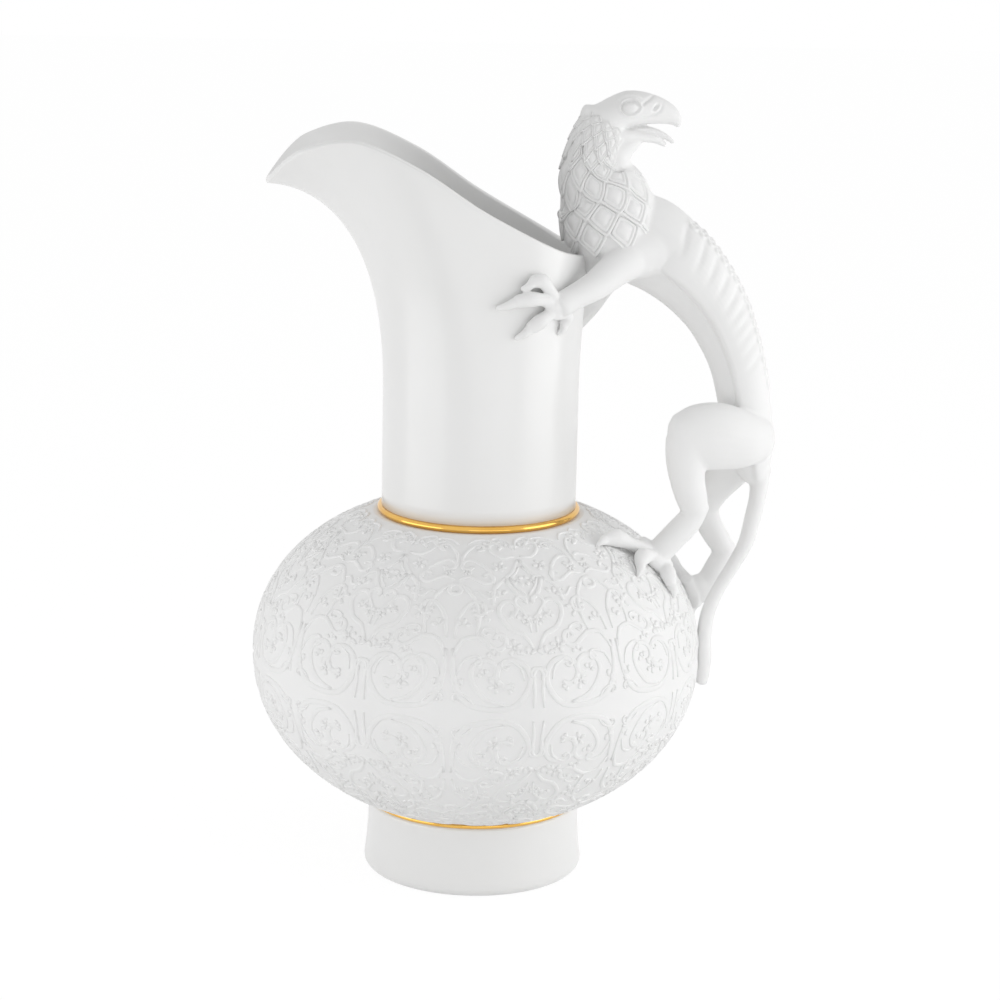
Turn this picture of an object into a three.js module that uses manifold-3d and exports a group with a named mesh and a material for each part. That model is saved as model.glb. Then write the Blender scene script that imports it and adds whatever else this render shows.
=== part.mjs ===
// Porcelain jug: a bulb on a short foot, a neck with a wide pouring lip, and a griffin as its handle.
// Millimetres, +Z up. The origin is the middle of the ground base, the handle is towards +X.
import * as THREE from 'three';
import { mergeVertices } from 'three/addons/utils/BufferGeometryUtils.js';
import Module from 'manifold-3d';

const wasm = await Module();
wasm.setup();

// Walls and seams
const WALL = 4;
const LIP = 2.8;
const SEAM = 0.3;

// Foot
const FOOT_RADIUS = 43.8;
const FOOT_TOP_RADIUS = 42.2;
const FOOT_HEIGHT = 28.1;
const FOOT_EDGE = 3.4;
const FLOOR = 5;

// Gilded bands
const FOOT_BAND_HEIGHT = 2;
const FOOT_BAND_PROUD = 0.7;
const NECK_BAND_HEIGHT = 2.8;
const NECK_BAND_PROUD = 1.7;

// Bulb: two superelliptic halves that meet at the equator
const BULB_RADIUS = 88.7;
const BULB_LOWER_HEIGHT = 59;
const BULB_UPPER_HEIGHT = 57.4;
const BULB_LOWER_FULLNESS = 2.03;
const BULB_UPPER_FULLNESS = 2.16;
const BULB_SHOULDER = 1.6;

// Relief on the bulb: units round the body, each two mirrored cells, and a line's ridge section
const SCROLL_UNITS = 8;
const SCROLL_TURN = -9.2;
const SCROLL_PROUD = 0.7;
const SCROLL_ROOT = 1.2;
const SCROLL_HALF_WIDTH = 1.5;
const CURL_STEP = 58;
const CURL_END = 0.38;

// Neck and pouring lip, with heights above the foot of the neck
const NECK_RADIUS = 38.4;
const NECK_STRAIGHT = 46;
const RIM_FLARE = 2.1;
const RIM_BACK_RISE = 99.6;
const RIM_QUARTER_RISE = 104.2;
const RIM_SIDE_RISE = 119.4;
const RIM_SHOULDER_RISE = 136;
const RIM_CREST_RISE = 145.4;
const RIM_CHEEK_RISE = 140.4;
const SPOUT_TIP_RISE = 126;
const RIM_SIDE_INSET = 1.6;
const RIM_SHOULDER_REACH = 26;
const RIM_SHOULDER_SPREAD = 0.9;
const CREST_REACH = 51;
const CREST_HALF_WIDTH = 34.6;
const CHEEK_REACH = 70;
const CHEEK_HALF_WIDTH = 26.2;
const SPOUT_REACH = 83.4;

// Meridians of the flare: shares of their rise and spread, and the run of the pouring edge
const FLARE_CLIMB = 0.4;
const SPOUT_CLIMB = 0.86;
const FLARE_LEAN = 0.35;
const FLARE_SPREAD = 0.1;
const POUR_RUN = 15;
const POUR_LIFT = 0.6;

// Griffin's claws: how far they stand off the wall that they grip, their half thicknesses and their places
const KNUCKLE_STAND = 4.6;
const PALM_STAND = 4.4;
const CLAW_STAND = 1;
const CLAW_GIRTH = 1.1;
const TALON_GIRTH = 3.1;
const TALON_PALM = 6.4;
const PAW_GIRTH = 4.2;
const PAW_PALM = 7.4;
const WRIST_GIRTH = 5.2;
const LEFT_ANKLE_GIRTH = 5.8;
const RIGHT_ANKLE_GIRTH = 5.2;
const PALM_HEEL = 0.8;
const PALM_MIDDLE = 0.6;
const PALM_TOP = 0.7;
const TOE_ROOT = 0.1;
const TOE_MIDDLE = 0.45;
const TOE_ARCH = 0.12;
const KNUCKLE_SHARE = 0.95;
const TOE_SHARE = 0.75;
const ANKLE_LAP = 0.08;
const ANKLE_MIDDLE = 0.45;
const ANKLE_REACH = 0.9;
const ANKLE_TOP_SHARE = 0.9;
const ANKLE_END_SHARE = 1.05;
const LEFT_GRIP_RISE = 84.6;
const RIGHT_GRIP_RISE = 61.8;
const LEFT_PAW_RISE = 42;
const RIGHT_PAW_RISE = 22.5;

// Roundness of a limb's ends, as a share of its half depth
const LIMB_END = 0.4;

// Levels along the axis
const BULB_BOTTOM = FOOT_HEIGHT + FOOT_BAND_HEIGHT;
const EQUATOR = BULB_BOTTOM + BULB_LOWER_HEIGHT;
const BULB_TOP = EQUATOR + BULB_UPPER_HEIGHT;
const NECK_BOTTOM = BULB_TOP + NECK_BAND_HEIGHT;

// Facets
const TURN_STEPS = 48;
const ARC_STEPS = 3;
const BAND_STEPS = 2;
const BULB_STEPS = 14;
const BULB_INNER_STEPS = 8;
const BULB_FINE_STEPS = 20;
const RIM_STEPS = 10;
const FLARE_STEPS = 7;
const LIMB_SIDES = 10;
const TOE_SIDES = 7;
const BODY_SIDES = 12;
const PLUME_SIDES = 14;

const white = { color: 0xf3f2f0, metalness: 0 };
const biscuit = () => new THREE.MeshStandardMaterial({ ...white, roughness: 0.75 });
const glaze = () => new THREE.MeshStandardMaterial({ ...white, roughness: 0.15 });
const gold = () => new THREE.MeshStandardMaterial({ color: 0xd9a443, roughness: 0.25, metalness: 1 });

// Solids and meshes

/** Turns a closed geometry into a solid whose faces point out. */
function solid(geometry) {
  const bare = new THREE.BufferGeometry();
  bare.setAttribute('position', geometry.getAttribute('position'));
  bare.setIndex(geometry.getIndex());
  const merged = mergeVertices(bare, 1e-4);
  const vertProperties = Float32Array.from(merged.getAttribute('position').array);
  const corners = merged.getIndex().array;
  const at = (i) => new THREE.Vector3().fromArray(vertProperties, 3 * i);
  const faces = [];
  let sixVolumes = 0;
  for (let i = 0; i < corners.length; i += 3) {
    const [a, b, c] = [corners[i], corners[i + 1], corners[i + 2]];
    if (a === b || b === c || c === a) continue;
    faces.push([a, b, c]);
    sixVolumes += at(a).dot(at(b).cross(at(c)));
  }
  const outward = faces.map(([a, b, c]) => (sixVolumes > 0 ? [a, b, c] : [a, c, b]));
  const triVerts = Uint32Array.from(outward.flat());
  return new wasm.Manifold(new wasm.Mesh({ numProp: 3, vertProperties, triVerts }));
}

/** Trims a casting by what it is luted to and keeps its one main body. */
function trim(piece, cutters) {
  const rest = cutters.reduce((body, cutter) => body.subtract(cutter), piece);
  return rest.decompose().reduce((a, b) => (a.volume() > b.volume() ? a : b));
}

/** Joins solids that are cast in one. */
function join(pieces) {
  return pieces.reduce((a, b) => a.add(b));
}

/** Makes a named mesh of a solid, with the mesh's own origin at a given place in its group. */
function mesh(name, body, material, origin = new THREE.Vector3()) {
  const { vertProperties, triVerts } = body.getMesh();
  const geometry = new THREE.BufferGeometry();
  geometry.setAttribute('position', new THREE.BufferAttribute(Float32Array.from(vertProperties), 3));
  geometry.setIndex(Array.from(triVerts));
  geometry.translate(-origin.x, -origin.y, -origin.z);
  geometry.computeVertexNormals();
  const part = new THREE.Mesh(geometry, material);
  part.name = name;
  part.position.copy(origin);
  return part;
}

/** Turns a profile of radius and height about the jug's axis. */
function turned(profile) {
  return solid(new THREE.LatheGeometry(profile, TURN_STEPS).rotateX(Math.PI / 2));
}

/** Skins a row of rings: the ends close onto two poles, or else the last ring joins the first. */
function skinned(rings, poles = []) {
  const count = rings[0].length;
  const points = [...rings.flat(), ...poles];
  const index = [];
  const spans = poles.length ? rings.length - 1 : rings.length;
  for (let row = 0; row < spans; row += 1) {
    const near = row * count;
    const far = ((row + 1) % rings.length) * count;
    for (let i = 0; i < count; i += 1) {
      const j = (i + 1) % count;
      index.push(near + i, near + j, far + j, near + i, far + j, far + i);
    }
  }
  if (poles.length) {
    const last = (rings.length - 1) * count;
    const [start, end] = [rings.length * count, rings.length * count + 1];
    for (let i = 0; i < count; i += 1) {
      const j = (i + 1) % count;
      index.push(start, j, i, end, last + i, last + j);
    }
  }
  const geometry = new THREE.BufferGeometry().setFromPoints(points);
  geometry.setIndex(index);
  return solid(geometry);
}

// Foot and gilded bands

function foot() {
  const inner = FOOT_TOP_RADIUS - WALL;
  const profile = new THREE.Path();
  profile.moveTo(0, 0);
  profile.lineTo(FOOT_RADIUS - FOOT_EDGE, 0);
  profile.absarc(FOOT_RADIUS - FOOT_EDGE, FOOT_EDGE, FOOT_EDGE, -Math.PI / 2, 0);
  profile.quadraticCurveTo(FOOT_TOP_RADIUS, FOOT_HEIGHT / 2, FOOT_TOP_RADIUS, FOOT_HEIGHT);
  profile.lineTo(inner, FOOT_HEIGHT);
  profile.lineTo(inner, FLOOR);
  profile.lineTo(0, FLOOR);
  return turned(profile.getPoints(ARC_STEPS));
}

/** A ring with a rounded outer face, as high as its band, between two flat seats. */
function band(inner, outer, height) {
  const crown = height / 4;
  const profile = new THREE.Path();
  profile.moveTo(inner, 0);
  profile.lineTo(outer - crown, 0);
  profile.absellipse(outer - crown, height / 2, crown, height / 2, -Math.PI / 2, Math.PI / 2);
  profile.lineTo(inner, height);
  profile.lineTo(inner, 0);
  return turned(profile.getPoints(BAND_STEPS));
}

// Bulb

const footBandRadius = FOOT_TOP_RADIUS + FOOT_BAND_PROUD;
const neckBandRadius = NECK_RADIUS + NECK_BAND_PROUD;
const bulbTopRadius = neckBandRadius + BULB_SHOULDER;

/** Radius of the bulb at a height, offset outwards: each half swells from its seat to the equator. */
function bulbRadius(z, offset = 0) {
  const upper = z > EQUATOR;
  const n = upper ? BULB_UPPER_FULLNESS : BULB_LOWER_FULLNESS;
  const seat = upper ? bulbTopRadius : footBandRadius;
  const height = upper ? BULB_UPPER_HEIGHT : BULB_LOWER_HEIGHT;
  const full = height / (1 - (seat / BULB_RADIUS) ** n) ** (1 / n) + offset;
  const share = Math.min(Math.abs(z - EQUATOR) / full, 1);
  return (BULB_RADIUS + offset) * (1 - share ** n) ** (1 / n);
}

/** Points of the bulb's outline from its lower seat to its upper seat, closer together at the seats. */
function bulbOutline(steps, offset = 0) {
  const outline = [];
  for (let i = 0; i <= steps; i += 1) {
    const swing = Math.sin((i / steps - 0.5) * Math.PI);
    const z = swing < 0 ? EQUATOR + swing * BULB_LOWER_HEIGHT : EQUATOR + swing * BULB_UPPER_HEIGHT;
    outline.push(new THREE.Vector2(bulbRadius(z, offset), z));
  }
  return outline;
}

/** The bulb's outline from the equator to one seat, measured by its length. */
function bulbWall(side) {
  const outline = bulbOutline(BULB_FINE_STEPS).filter((p) => (p.y - EQUATOR) * side >= 0);
  return new THREE.SplineCurve(side > 0 ? outline : outline.reverse());
}

// Scrolls of one cell: the stem's places as shares across the cell and along the wall from the equator,
// then the radius at which its end curls up and the curl's turn in degrees
const scrolls = [
  {
    stem: [[0.04, 0.31], [0.06, 0.17], [0.16, 0.07], [0.4, 0.02], [0.66, 0.03], [0.86, 0.1]],
    curl: 8.6,
    turn: 320,
  },
  { stem: [[0.97, 0.32], [0.84, 0.39], [0.66, 0.43]], curl: 5, turn: -250 },
  { stem: [[0.98, 0.55], [0.72, 0.69], [0.98, 0.81]] },
];

/** Points of a scroll as shares of its cell, with a curl that is round on the wall. */
function scrollPath({ stem, curl, turn }, wall) {
  const length = wall.getLength();
  const cell = (Math.PI / SCROLL_UNITS) * wall.getPointAt(stem[stem.length - 1][1]).x;
  const points = stem.map(([across, along]) => new THREE.Vector2(across * cell, along * length));
  if (curl) {
    const [before, end] = points.slice(-2);
    const [middle, quarter] = [new THREE.Vector2(), (-Math.sign(turn) * Math.PI) / 2];
    const out = end.clone().sub(before).normalize().rotateAround(middle, quarter);
    const centre = end.clone().addScaledVector(out, -curl);
    const steps = Math.round(Math.abs(turn) / CURL_STEP);
    for (let k = 1; k <= steps; k += 1) {
      const arm = out.clone().multiplyScalar(curl * THREE.MathUtils.lerp(1, CURL_END, k / steps));
      const swing = THREE.MathUtils.degToRad(turn) * (k / steps);
      points.push(arm.rotateAround(middle, swing).add(centre));
    }
  }
  return points.map((p) => new THREE.Vector2(p.x / cell, p.y / length));
}

/** A place on one half of the bulb's wall and the direction out of the wall there. */
function wallSpot(wall, side, angle, along) {
  const place = wall.getPointAt(along);
  const slope = wall.getTangentAt(along).multiplyScalar(side);
  const turnBy = (radius, z) => new THREE.Vector3(Math.cos(angle) * radius, Math.sin(angle) * radius, z);
  return { at: turnBy(place.x, place.y), out: turnBy(slope.y, -slope.x) };
}

/** A scroll's ridge in one cell: a three-sided bar that follows the wall with its root inside it. */
function ridge(wall, side, path, unit, hand) {
  const cell = Math.PI / SCROLL_UNITS;
  const first = 2 * unit * cell + THREE.MathUtils.degToRad(SCROLL_TURN);
  const spots = path.map((p) => wallSpot(wall, side, first + hand * p.x * cell, p.y));
  const last = spots.length - 1;
  const poles = [];
  const rings = spots.map(({ at, out }, i) => {
    const ahead = spots[Math.min(i + 1, last)].at.clone().sub(spots[Math.max(i - 1, 0)].at).normalize();
    const aside = out.clone().cross(ahead).normalize().multiplyScalar(SCROLL_HALF_WIDTH);
    const root = at.clone().addScaledVector(out, -SCROLL_ROOT);
    const ends = (i === last) - (i === 0);
    if (ends) poles.push(root.clone().addScaledVector(ahead, ends * SCROLL_HALF_WIDTH));
    return [root.clone().add(aside), root.clone().sub(aside), at.clone().addScaledVector(out, SCROLL_PROUD)];
  });
  return skinned(rings, poles);
}

/** All the scrolls, in the cells of both halves of the bulb. */
function scrollwork() {
  const ridges = [];
  for (const side of [1, -1]) {
    const wall = bulbWall(side);
    const paths = scrolls.map((scroll) => scrollPath(scroll, wall));
    for (let unit = 0; unit < SCROLL_UNITS; unit += 1) {
      for (const hand of [1, -1]) ridges.push(...paths.map((path) => ridge(wall, side, path, unit, hand)));
    }
  }
  return wasm.Manifold.union(ridges);
}

/** The bulb's body, with its scrolls clear of what is luted over them. */
function bulb(luted) {
  const outer = bulbOutline(BULB_STEPS);
  const inner = bulbOutline(BULB_INNER_STEPS, -WALL).reverse();
  inner[0].x = NECK_RADIUS - WALL;
  inner[inner.length - 1].x = FOOT_TOP_RADIUS - WALL;
  const body = turned([...outer, ...inner, outer[0].clone()]);
  return body.add(luted.reduce((relief, cutter) => relief.subtract(cutter), scrollwork()));
}

/** The filled bulb with a seam around it, to trim what lies on it. */
function bulbCutter() {
  const outline = bulbOutline(BULB_FINE_STEPS, SEAM);
  const low = new THREE.Vector2(0, outline[0].y);
  const high = new THREE.Vector2(0, outline[outline.length - 1].y);
  return turned([low, ...outline, high]);
}

// Neck and pouring lip

/** Half of the rim in plan and height, from the back round to the tip of the spout. */
function halfRim() {
  const back = NECK_RADIUS + RIM_FLARE;
  const side = NECK_RADIUS - RIM_SIDE_INSET;
  const quarter = Math.SQRT1_2;
  const rows = [
    [back, 0, RIM_BACK_RISE],
    [back * quarter, side * quarter, RIM_QUARTER_RISE],
    [0, side, RIM_SIDE_RISE],
    [-RIM_SHOULDER_REACH, NECK_RADIUS + RIM_SHOULDER_SPREAD, RIM_SHOULDER_RISE],
    [-CREST_REACH, CREST_HALF_WIDTH, RIM_CREST_RISE],
    [-CHEEK_REACH, CHEEK_HALF_WIDTH, RIM_CHEEK_RISE],
    [-SPOUT_REACH, 0, SPOUT_TIP_RISE],
  ];
  const near = rows.map(([x, y, rise]) => new THREE.Vector3(x, y, NECK_BOTTOM + rise));
  const far = near.slice(1, -1).reverse().map((p) => new THREE.Vector3(p.x, -p.y, p.z));
  const curve = new THREE.CatmullRomCurve3([...near, ...far], true, 'centripetal');
  const spans = near.length - 1;
  const sideShare = 1 / spans;
  const half = [];
  for (let i = 0; i <= 2 * RIM_STEPS; i += 1) {
    const share = i / RIM_STEPS;
    const along = share < 1 ? share * sideShare : sideShare + (share - 1) * (0.5 - sideShare);
    half.push(curve.getPoint(along));
  }
  return half;
}

/** Rings of the neck's outer face from its foot to the rim. */
function neckRings() {
  const half = halfRim();
  const mirrored = half.slice(1, -1).reverse().map((p) => new THREE.Vector3(p.x, -p.y, p.z));
  const rim = [...half, ...mirrored];
  const rows = Array.from({ length: FLARE_STEPS + 2 }, () => []);
  rim.forEach((lip, i) => {
    const angle = (i / rim.length) * 2 * Math.PI;
    const foot = new THREE.Vector3(Math.cos(angle) * NECK_RADIUS, Math.sin(angle) * NECK_RADIUS, NECK_BOTTOM);
    const start = foot.clone().setZ(NECK_BOTTOM + NECK_STRAIGHT);
    const spout = Math.max(0, -Math.cos(angle)) ** 2;
    const rise = lip.z - start.z;
    const climb = start.clone().setZ(start.z + rise * THREE.MathUtils.lerp(FLARE_CLIMB, SPOUT_CLIMB, spout));
    const flat = new THREE.Vector3(lip.x - start.x, lip.y - start.y, 0);
    const lean = flat.multiplyScalar(FLARE_SPREAD).setZ(rise * FLARE_LEAN);
    const pour = new THREE.Vector3(-POUR_RUN, 0, POUR_LIFT);
    const approach = lip.clone().sub(lean.lerp(pour, spout));
    const meridian = new THREE.CubicBezierCurve3(start, climb, approach, lip);
    rows[0].push(foot);
    meridian.getPoints(FLARE_STEPS).forEach((p, k) => rows[k + 1].push(p));
  });
  return rows;
}

/** Moves each ring of a wall along its normals by the row's own distance. */
function offsetRings(rings, distance) {
  const last = rings.length - 1;
  return rings.map((ring, row) => ring.map((point, i) => {
    const around = ring[(i + 1) % ring.length].clone().sub(ring[(i + ring.length - 1) % ring.length]);
    const along = rings[Math.min(row + 1, last)][i].clone().sub(rings[Math.max(row - 1, 0)][i]);
    const normal = around.cross(along).normalize();
    return point.clone().addScaledVector(normal, distance(row / last));
  }));
}

function neck() {
  const outer = neckRings();
  const inner = offsetRings(outer, (share) => -THREE.MathUtils.lerp(WALL, LIP, share));
  return skinned([...outer, ...inner.reverse()]);
}

/** The filled neck with a seam around it, to trim what lies on it. */
function neckCutter() {
  const rings = offsetRings(neckRings(), () => SEAM);
  const rim = rings[rings.length - 1];
  const middle = rim.reduce((sum, p) => sum.add(p), new THREE.Vector3()).divideScalar(rim.length);
  return skinned(rings, [new THREE.Vector3(0, 0, NECK_BOTTOM), middle]);
}

// Griffin: limbs are oval sections swept along a smooth path

const rimBack = new THREE.Vector3(NECK_RADIUS, 0, NECK_BOTTOM + RIM_BACK_RISE);
const bulbBack = new THREE.Vector3(BULB_RADIUS, 0, EQUATOR);

/** A station of a limb: its centre from an anchor, then half its depth and half its width. */
function station(anchor, [out, side, up, deep, wide]) {
  return { at: new THREE.Vector3(out, side, up).add(anchor), deep, wide };
}

const fromRim = (...rows) => rows.map((row) => station(rimBack, row));
const fromBulb = (...rows) => rows.map((row) => station(bulbBack, row));

/** Sweeps the stations' ovals along a curve, widened by a seam when the limb is used as a cutter. */
function limb(stations, grow = 0, sides = LIMB_SIDES, across = new THREE.Vector3(0, 1, 0)) {
  const path = new THREE.CatmullRomCurve3(stations.map((s) => s.at));
  const girth = new THREE.CatmullRomCurve3(stations.map((s) => new THREE.Vector3(s.deep, s.wide, 0)));
  const steps = 2 * (stations.length - 1);
  const rings = [];
  const poles = [];
  for (let k = 0; k <= steps; k += 1) {
    const centre = path.getPoint(k / steps);
    const ahead = path.getTangent(k / steps);
    const size = girth.getPoint(k / steps);
    const side = across.clone().addScaledVector(ahead, -across.dot(ahead)).normalize();
    const up = ahead.clone().cross(side);
    const ends = (k === steps) - (k === 0);
    centre.addScaledVector(ahead, ends * grow);
    const ring = [];
    for (let i = 0; i < sides; i += 1) {
      const angle = (i / sides) * 2 * Math.PI;
      const point = centre.clone().addScaledVector(up, Math.cos(angle) * (size.x + grow));
      ring.push(point.addScaledVector(side, Math.sin(angle) * (size.y + grow)));
    }
    rings.push(ring);
    if (ends) poles.push(centre.clone().addScaledVector(ahead, ends * size.x * LIMB_END));
  }
  return skinned(rings, poles);
}

// Torso: shoulder, arched back, loin and rump
const torsoStations = fromRim(
  [24.6, 0, 4.4, 15.5, 12.5],
  [35.3, 0, -0.9, 16.4, 15.5],
  [45.1, 0, -9.3, 15.2, 15],
  [53.6, 0, -20.2, 13.7, 14],
  [58.4, 0, -29.2, 12.7, 13],
  [62.7, 0, -40.7, 11.6, 12],
  [66.2, 0, -56.5, 11, 11.5],
  [67.8, 0, -70, 10.4, 11],
  [69.6, 0, -80, 8.4, 9],
  [70.8, 0, -87, 5.6, 6],
);

// Feathered neck: from the breast on the rim up to the nape
const plumeStations = fromRim(
  [13.6, 0, -1.5, 15.6, 15],
  [12.2, 0, 7.8, 17.6, 18],
  [10.8, 0, 16.4, 18.9, 18.4],
  [8.8, 0, 24, 17.4, 17],
  [6.2, 0, 31.4, 14, 14.5],
  [5.8, 0, 38.4, 12, 12],
  [7.2, 0, 45.4, 11, 10.6],
  [9.2, 0, 51.4, 9, 9],
);

// Head: crest, skull and upper beak
const headStations = fromRim(
  [-1, 0, 55.4, 2.2, 3],
  [4, 0, 54, 5.2, 7.4],
  [10, 0, 54.3, 7, 9.4],
  [17, 0, 56.8, 6.6, 9.2],
  [23, 0, 57.1, 6.1, 7.8],
  [28, 0, 56.2, 5, 5.8],
  [32, 0, 54.9, 3.8, 4.2],
  [35, 0, 52.9, 2.6, 2.8],
  [36.3, 0, 50.6, 1.2, 1.4],
);
const lowerBeakStations = fromRim(
  [8, 0, 47, 2, 7],
  [14, 0, 47.2, 3, 6.6],
  [21, 0, 46.4, 2.8, 5],
  [27, 0, 45.2, 2, 3.2],
  [30.4, 0, 43.2, 1, 1.6],
);
const tongueStations = fromRim(
  [18, 0, 49.9, 0.9, 3],
  [25, 0, 49, 1.1, 2.8],
  [30.5, 0, 47, 1.2, 2.2],
  [34, 0, 44.4, 0.8, 1.2],
);

// Forelegs down to the forearm: the left one reaches higher than the right one
const leftForearmStations = fromRim(
  [23.4, -13, -1.8, 5, 5.5],
  [16.5, -16, -3.2, 7.2, 6.4],
  [8, -19.6, -6.8, 6.8, 6],
);
const rightForearmStations = fromRim(
  [21.6, 12.5, -3, 7.5, 5.5],
  [13.1, 16.6, -12.6, 6.8, 6],
);

// Hind legs: thigh and shank of each side
const leftThighStations = fromRim(
  [71.6, -7, -70, 9, 7],
  [62.8, -12, -68.9, 12.8, 9],
  [52, -15.6, -68.2, 13.2, 9.6],
  [42.6, -17.2, -68.6, 11.6, 8.6],
  [37.6, -17.6, -69, 8.6, 7],
  [34.6, -17.8, -69.4, 4.2, 4],
);
const leftShankStations = fromRim(
  [43, -17.6, -66, 8.4, 7.6],
  [41.4, -18, -81, 7.2, 6.6],
  [44.2, -18, -94, 6, 5.8],
  [44.8, -18, -100.5, 5, 5],
);
const rightThighStations = fromRim(
  [69, 7, -75, 9, 7],
  [63.4, 12, -86, 9.2, 8],
  [58, 14.4, -97, 6.8, 6.6],
  [54.8, 15, -106, 4.4, 4.6],
);
const rightShankStations = fromRim(
  [55, 15, -102.4, 5, 5],
  [56.2, 15.4, -111, 5.2, 5],
  [59.8, 15.4, -119.4, 5, 4.8],
  [61.4, 15.4, -124.4, 4.2, 4.4],
);

// Claws: rows of angle round the axis in degrees and height above the palm
const leftTalon = { angle: -48, height: NECK_BOTTOM + LEFT_GRIP_RISE };
const leftTalonToes = [
  [[-13, 10], [-21.6, 6]],
  [[-19.6, 3], [-35.9, -1.2]],
  [[-13.6, -5.6], [-24.7, -12.2]],
  [[8.2, -5.4], [4.9, -12]],
];
const rightTalon = { angle: 40, height: NECK_BOTTOM + RIGHT_GRIP_RISE };
const rightTalonToes = [
  [[13, 10], [21.6, 6]],
  [[19.6, 3], [35.9, -1.2]],
  [[13.6, -5.6], [24.7, -12.2]],
  [[-15, -2.4], [-14, -9.4]],
];
const leftPaw = { angle: -16, height: EQUATOR + LEFT_PAW_RISE };
const leftPawToes = [
  [[-13, 8.6], [-21, 9.4]],
  [[-11, 1.6], [-16, -1.4]],
  [[-3, -5], [-4.4, -11]],
];
const rightPaw = { angle: 8, height: EQUATOR + RIGHT_PAW_RISE };
const rightPawToes = [
  [[4, 7], [9, 14.4]],
  [[7, -1], [13, 0]],
  [[-2, -6], [-4, -13]],
];

/** A point that stands off a round wall, given the wall's radius at each height. */
function onWall(radiusAt, angle, z, stand) {
  const turn = THREE.MathUtils.degToRad(angle);
  const radius = radiusAt(z) + stand;
  return new THREE.Vector3(Math.cos(turn) * radius, Math.sin(turn) * radius, z);
}

/** A clawed foot: a palm and toes that bend over the wall at their knuckles. */
function claw(radiusAt, spot, toes, girth, palmGirth, grow) {
  const palm = onWall(radiusAt, spot.angle, spot.height, PALM_STAND);
  const inward = onWall(radiusAt, spot.angle, spot.height, -palmGirth);
  const round = (at, size) => ({ at, deep: size, wide: size });
  const upward = new THREE.Vector3(0, 0, 1);
  const pad = limb([
    round(inward, palmGirth * PALM_HEEL),
    round(inward.clone().lerp(palm, PALM_MIDDLE), palmGirth),
    round(palm, palmGirth * PALM_TOP),
  ], grow, LIMB_SIDES, upward);
  const digits = toes.map(([knuckle, tip]) => {
    const bend = onWall(radiusAt, spot.angle + knuckle[0], spot.height + knuckle[1], KNUCKLE_STAND);
    const end = onWall(radiusAt, spot.angle + tip[0], spot.height + tip[1], CLAW_STAND);
    const middle = bend.clone().lerp(end, TOE_MIDDLE).addScaledVector(bend.clone().sub(palm), TOE_ARCH);
    return limb([
      round(palm.clone().lerp(bend, TOE_ROOT), girth),
      round(bend, girth * KNUCKLE_SHARE),
      round(middle, girth * TOE_SHARE),
      round(end, CLAW_GIRTH),
    ], grow, TOE_SIDES, upward);
  });
  return join([pad, ...digits]);
}

const neckRadius = () => NECK_RADIUS;
const talon = (spot, toes) => (grow) => claw(neckRadius, spot, toes, TALON_GIRTH, TALON_PALM, grow);
const paw = (spot, toes) => (grow) => claw(bulbRadius, spot, toes, PAW_GIRTH, PAW_PALM, grow);

/** Carries a limb on from its last station to the palm of the claw that it ends in. */
function downTo(palm, stations, girth) {
  const last = stations[stations.length - 1];
  const towards = (share, size) => ({ at: last.at.clone().lerp(palm, share), deep: size, wide: size });
  return {
    near: towards(-ANKLE_LAP, girth * ANKLE_TOP_SHARE),
    middle: towards(ANKLE_MIDDLE, girth),
    far: towards(ANKLE_REACH, girth * ANKLE_END_SHARE),
  };
}

const palmOf = (radiusAt, spot) => onWall(radiusAt, spot.angle, spot.height, PALM_STAND);

/** A foreleg: the forearm runs on through the wrist to the talon. */
const foreleg = (forearm, spot) => (grow) => {
  const { middle, far } = downTo(palmOf(neckRadius, spot), forearm, WRIST_GIRTH);
  return limb([...forearm, middle, far], grow);
};

/** A hind leg: thigh and shank, and below the hock the ankle that ends in the paw. */
const hindLeg = (thigh, shank, spot, girth) => (grow) => {
  const { near, middle, far } = downTo(palmOf(bulbRadius, spot), shank, girth);
  return join([limb(thigh, grow), limb(shank, grow), limb([near, middle, far], grow)]);
};

/** The tail: from the rump down the outside of the far leg, then flat against the bulb. */
const tailStations = [
  ...fromRim([73, 0, -84, 4.6, 4.6], [72.6, 0, -95, 3.5, 3.8]),
  ...fromRim([70.8, 0, -105, 3.4, 3.6], [68.4, 0, -115, 3.1, 3.4]),
  ...fromBulb([13.6, 0, 36, 2.8, 3.2], [7.8, 0, 26, 2.6, 3.2], [3.6, 0, 16, 2.6, 3.4]),
  ...fromBulb([2.4, 0, 6, 2.6, 3.8], [2.6, 0, -3, 2.6, 4.2], [2, 0, -13, 2, 3.6]),
];

// The griffin's castings, and the ones among them that lie on the bulb
const onBulb = {
  griffin_left_hind_leg: hindLeg(leftThighStations, leftShankStations, leftPaw, LEFT_ANKLE_GIRTH),
  griffin_right_hind_leg: hindLeg(rightThighStations, rightShankStations, rightPaw, RIGHT_ANKLE_GIRTH),
  griffin_left_hind_paw: paw(leftPaw, leftPawToes),
  griffin_right_hind_paw: paw(rightPaw, rightPawToes),
  griffin_tail: (grow) => limb(tailStations, grow),
};
const castingForms = {
  griffin_torso: (grow) => limb(torsoStations, grow, BODY_SIDES),
  griffin_head: (grow) => limb(headStations, grow, BODY_SIDES),
  griffin_feathered_neck: (grow) => limb(plumeStations, grow, PLUME_SIDES),
  griffin_lower_beak: (grow) => limb(lowerBeakStations, grow),
  griffin_tongue: (grow) => limb(tongueStations, grow, TOE_SIDES),
  griffin_left_foreleg: foreleg(leftForearmStations, leftTalon),
  griffin_right_foreleg: foreleg(rightForearmStations, rightTalon),
  griffin_left_talon: talon(leftTalon, leftTalonToes),
  griffin_right_talon: talon(rightTalon, rightTalonToes),
  ...onBulb,
};

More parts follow.
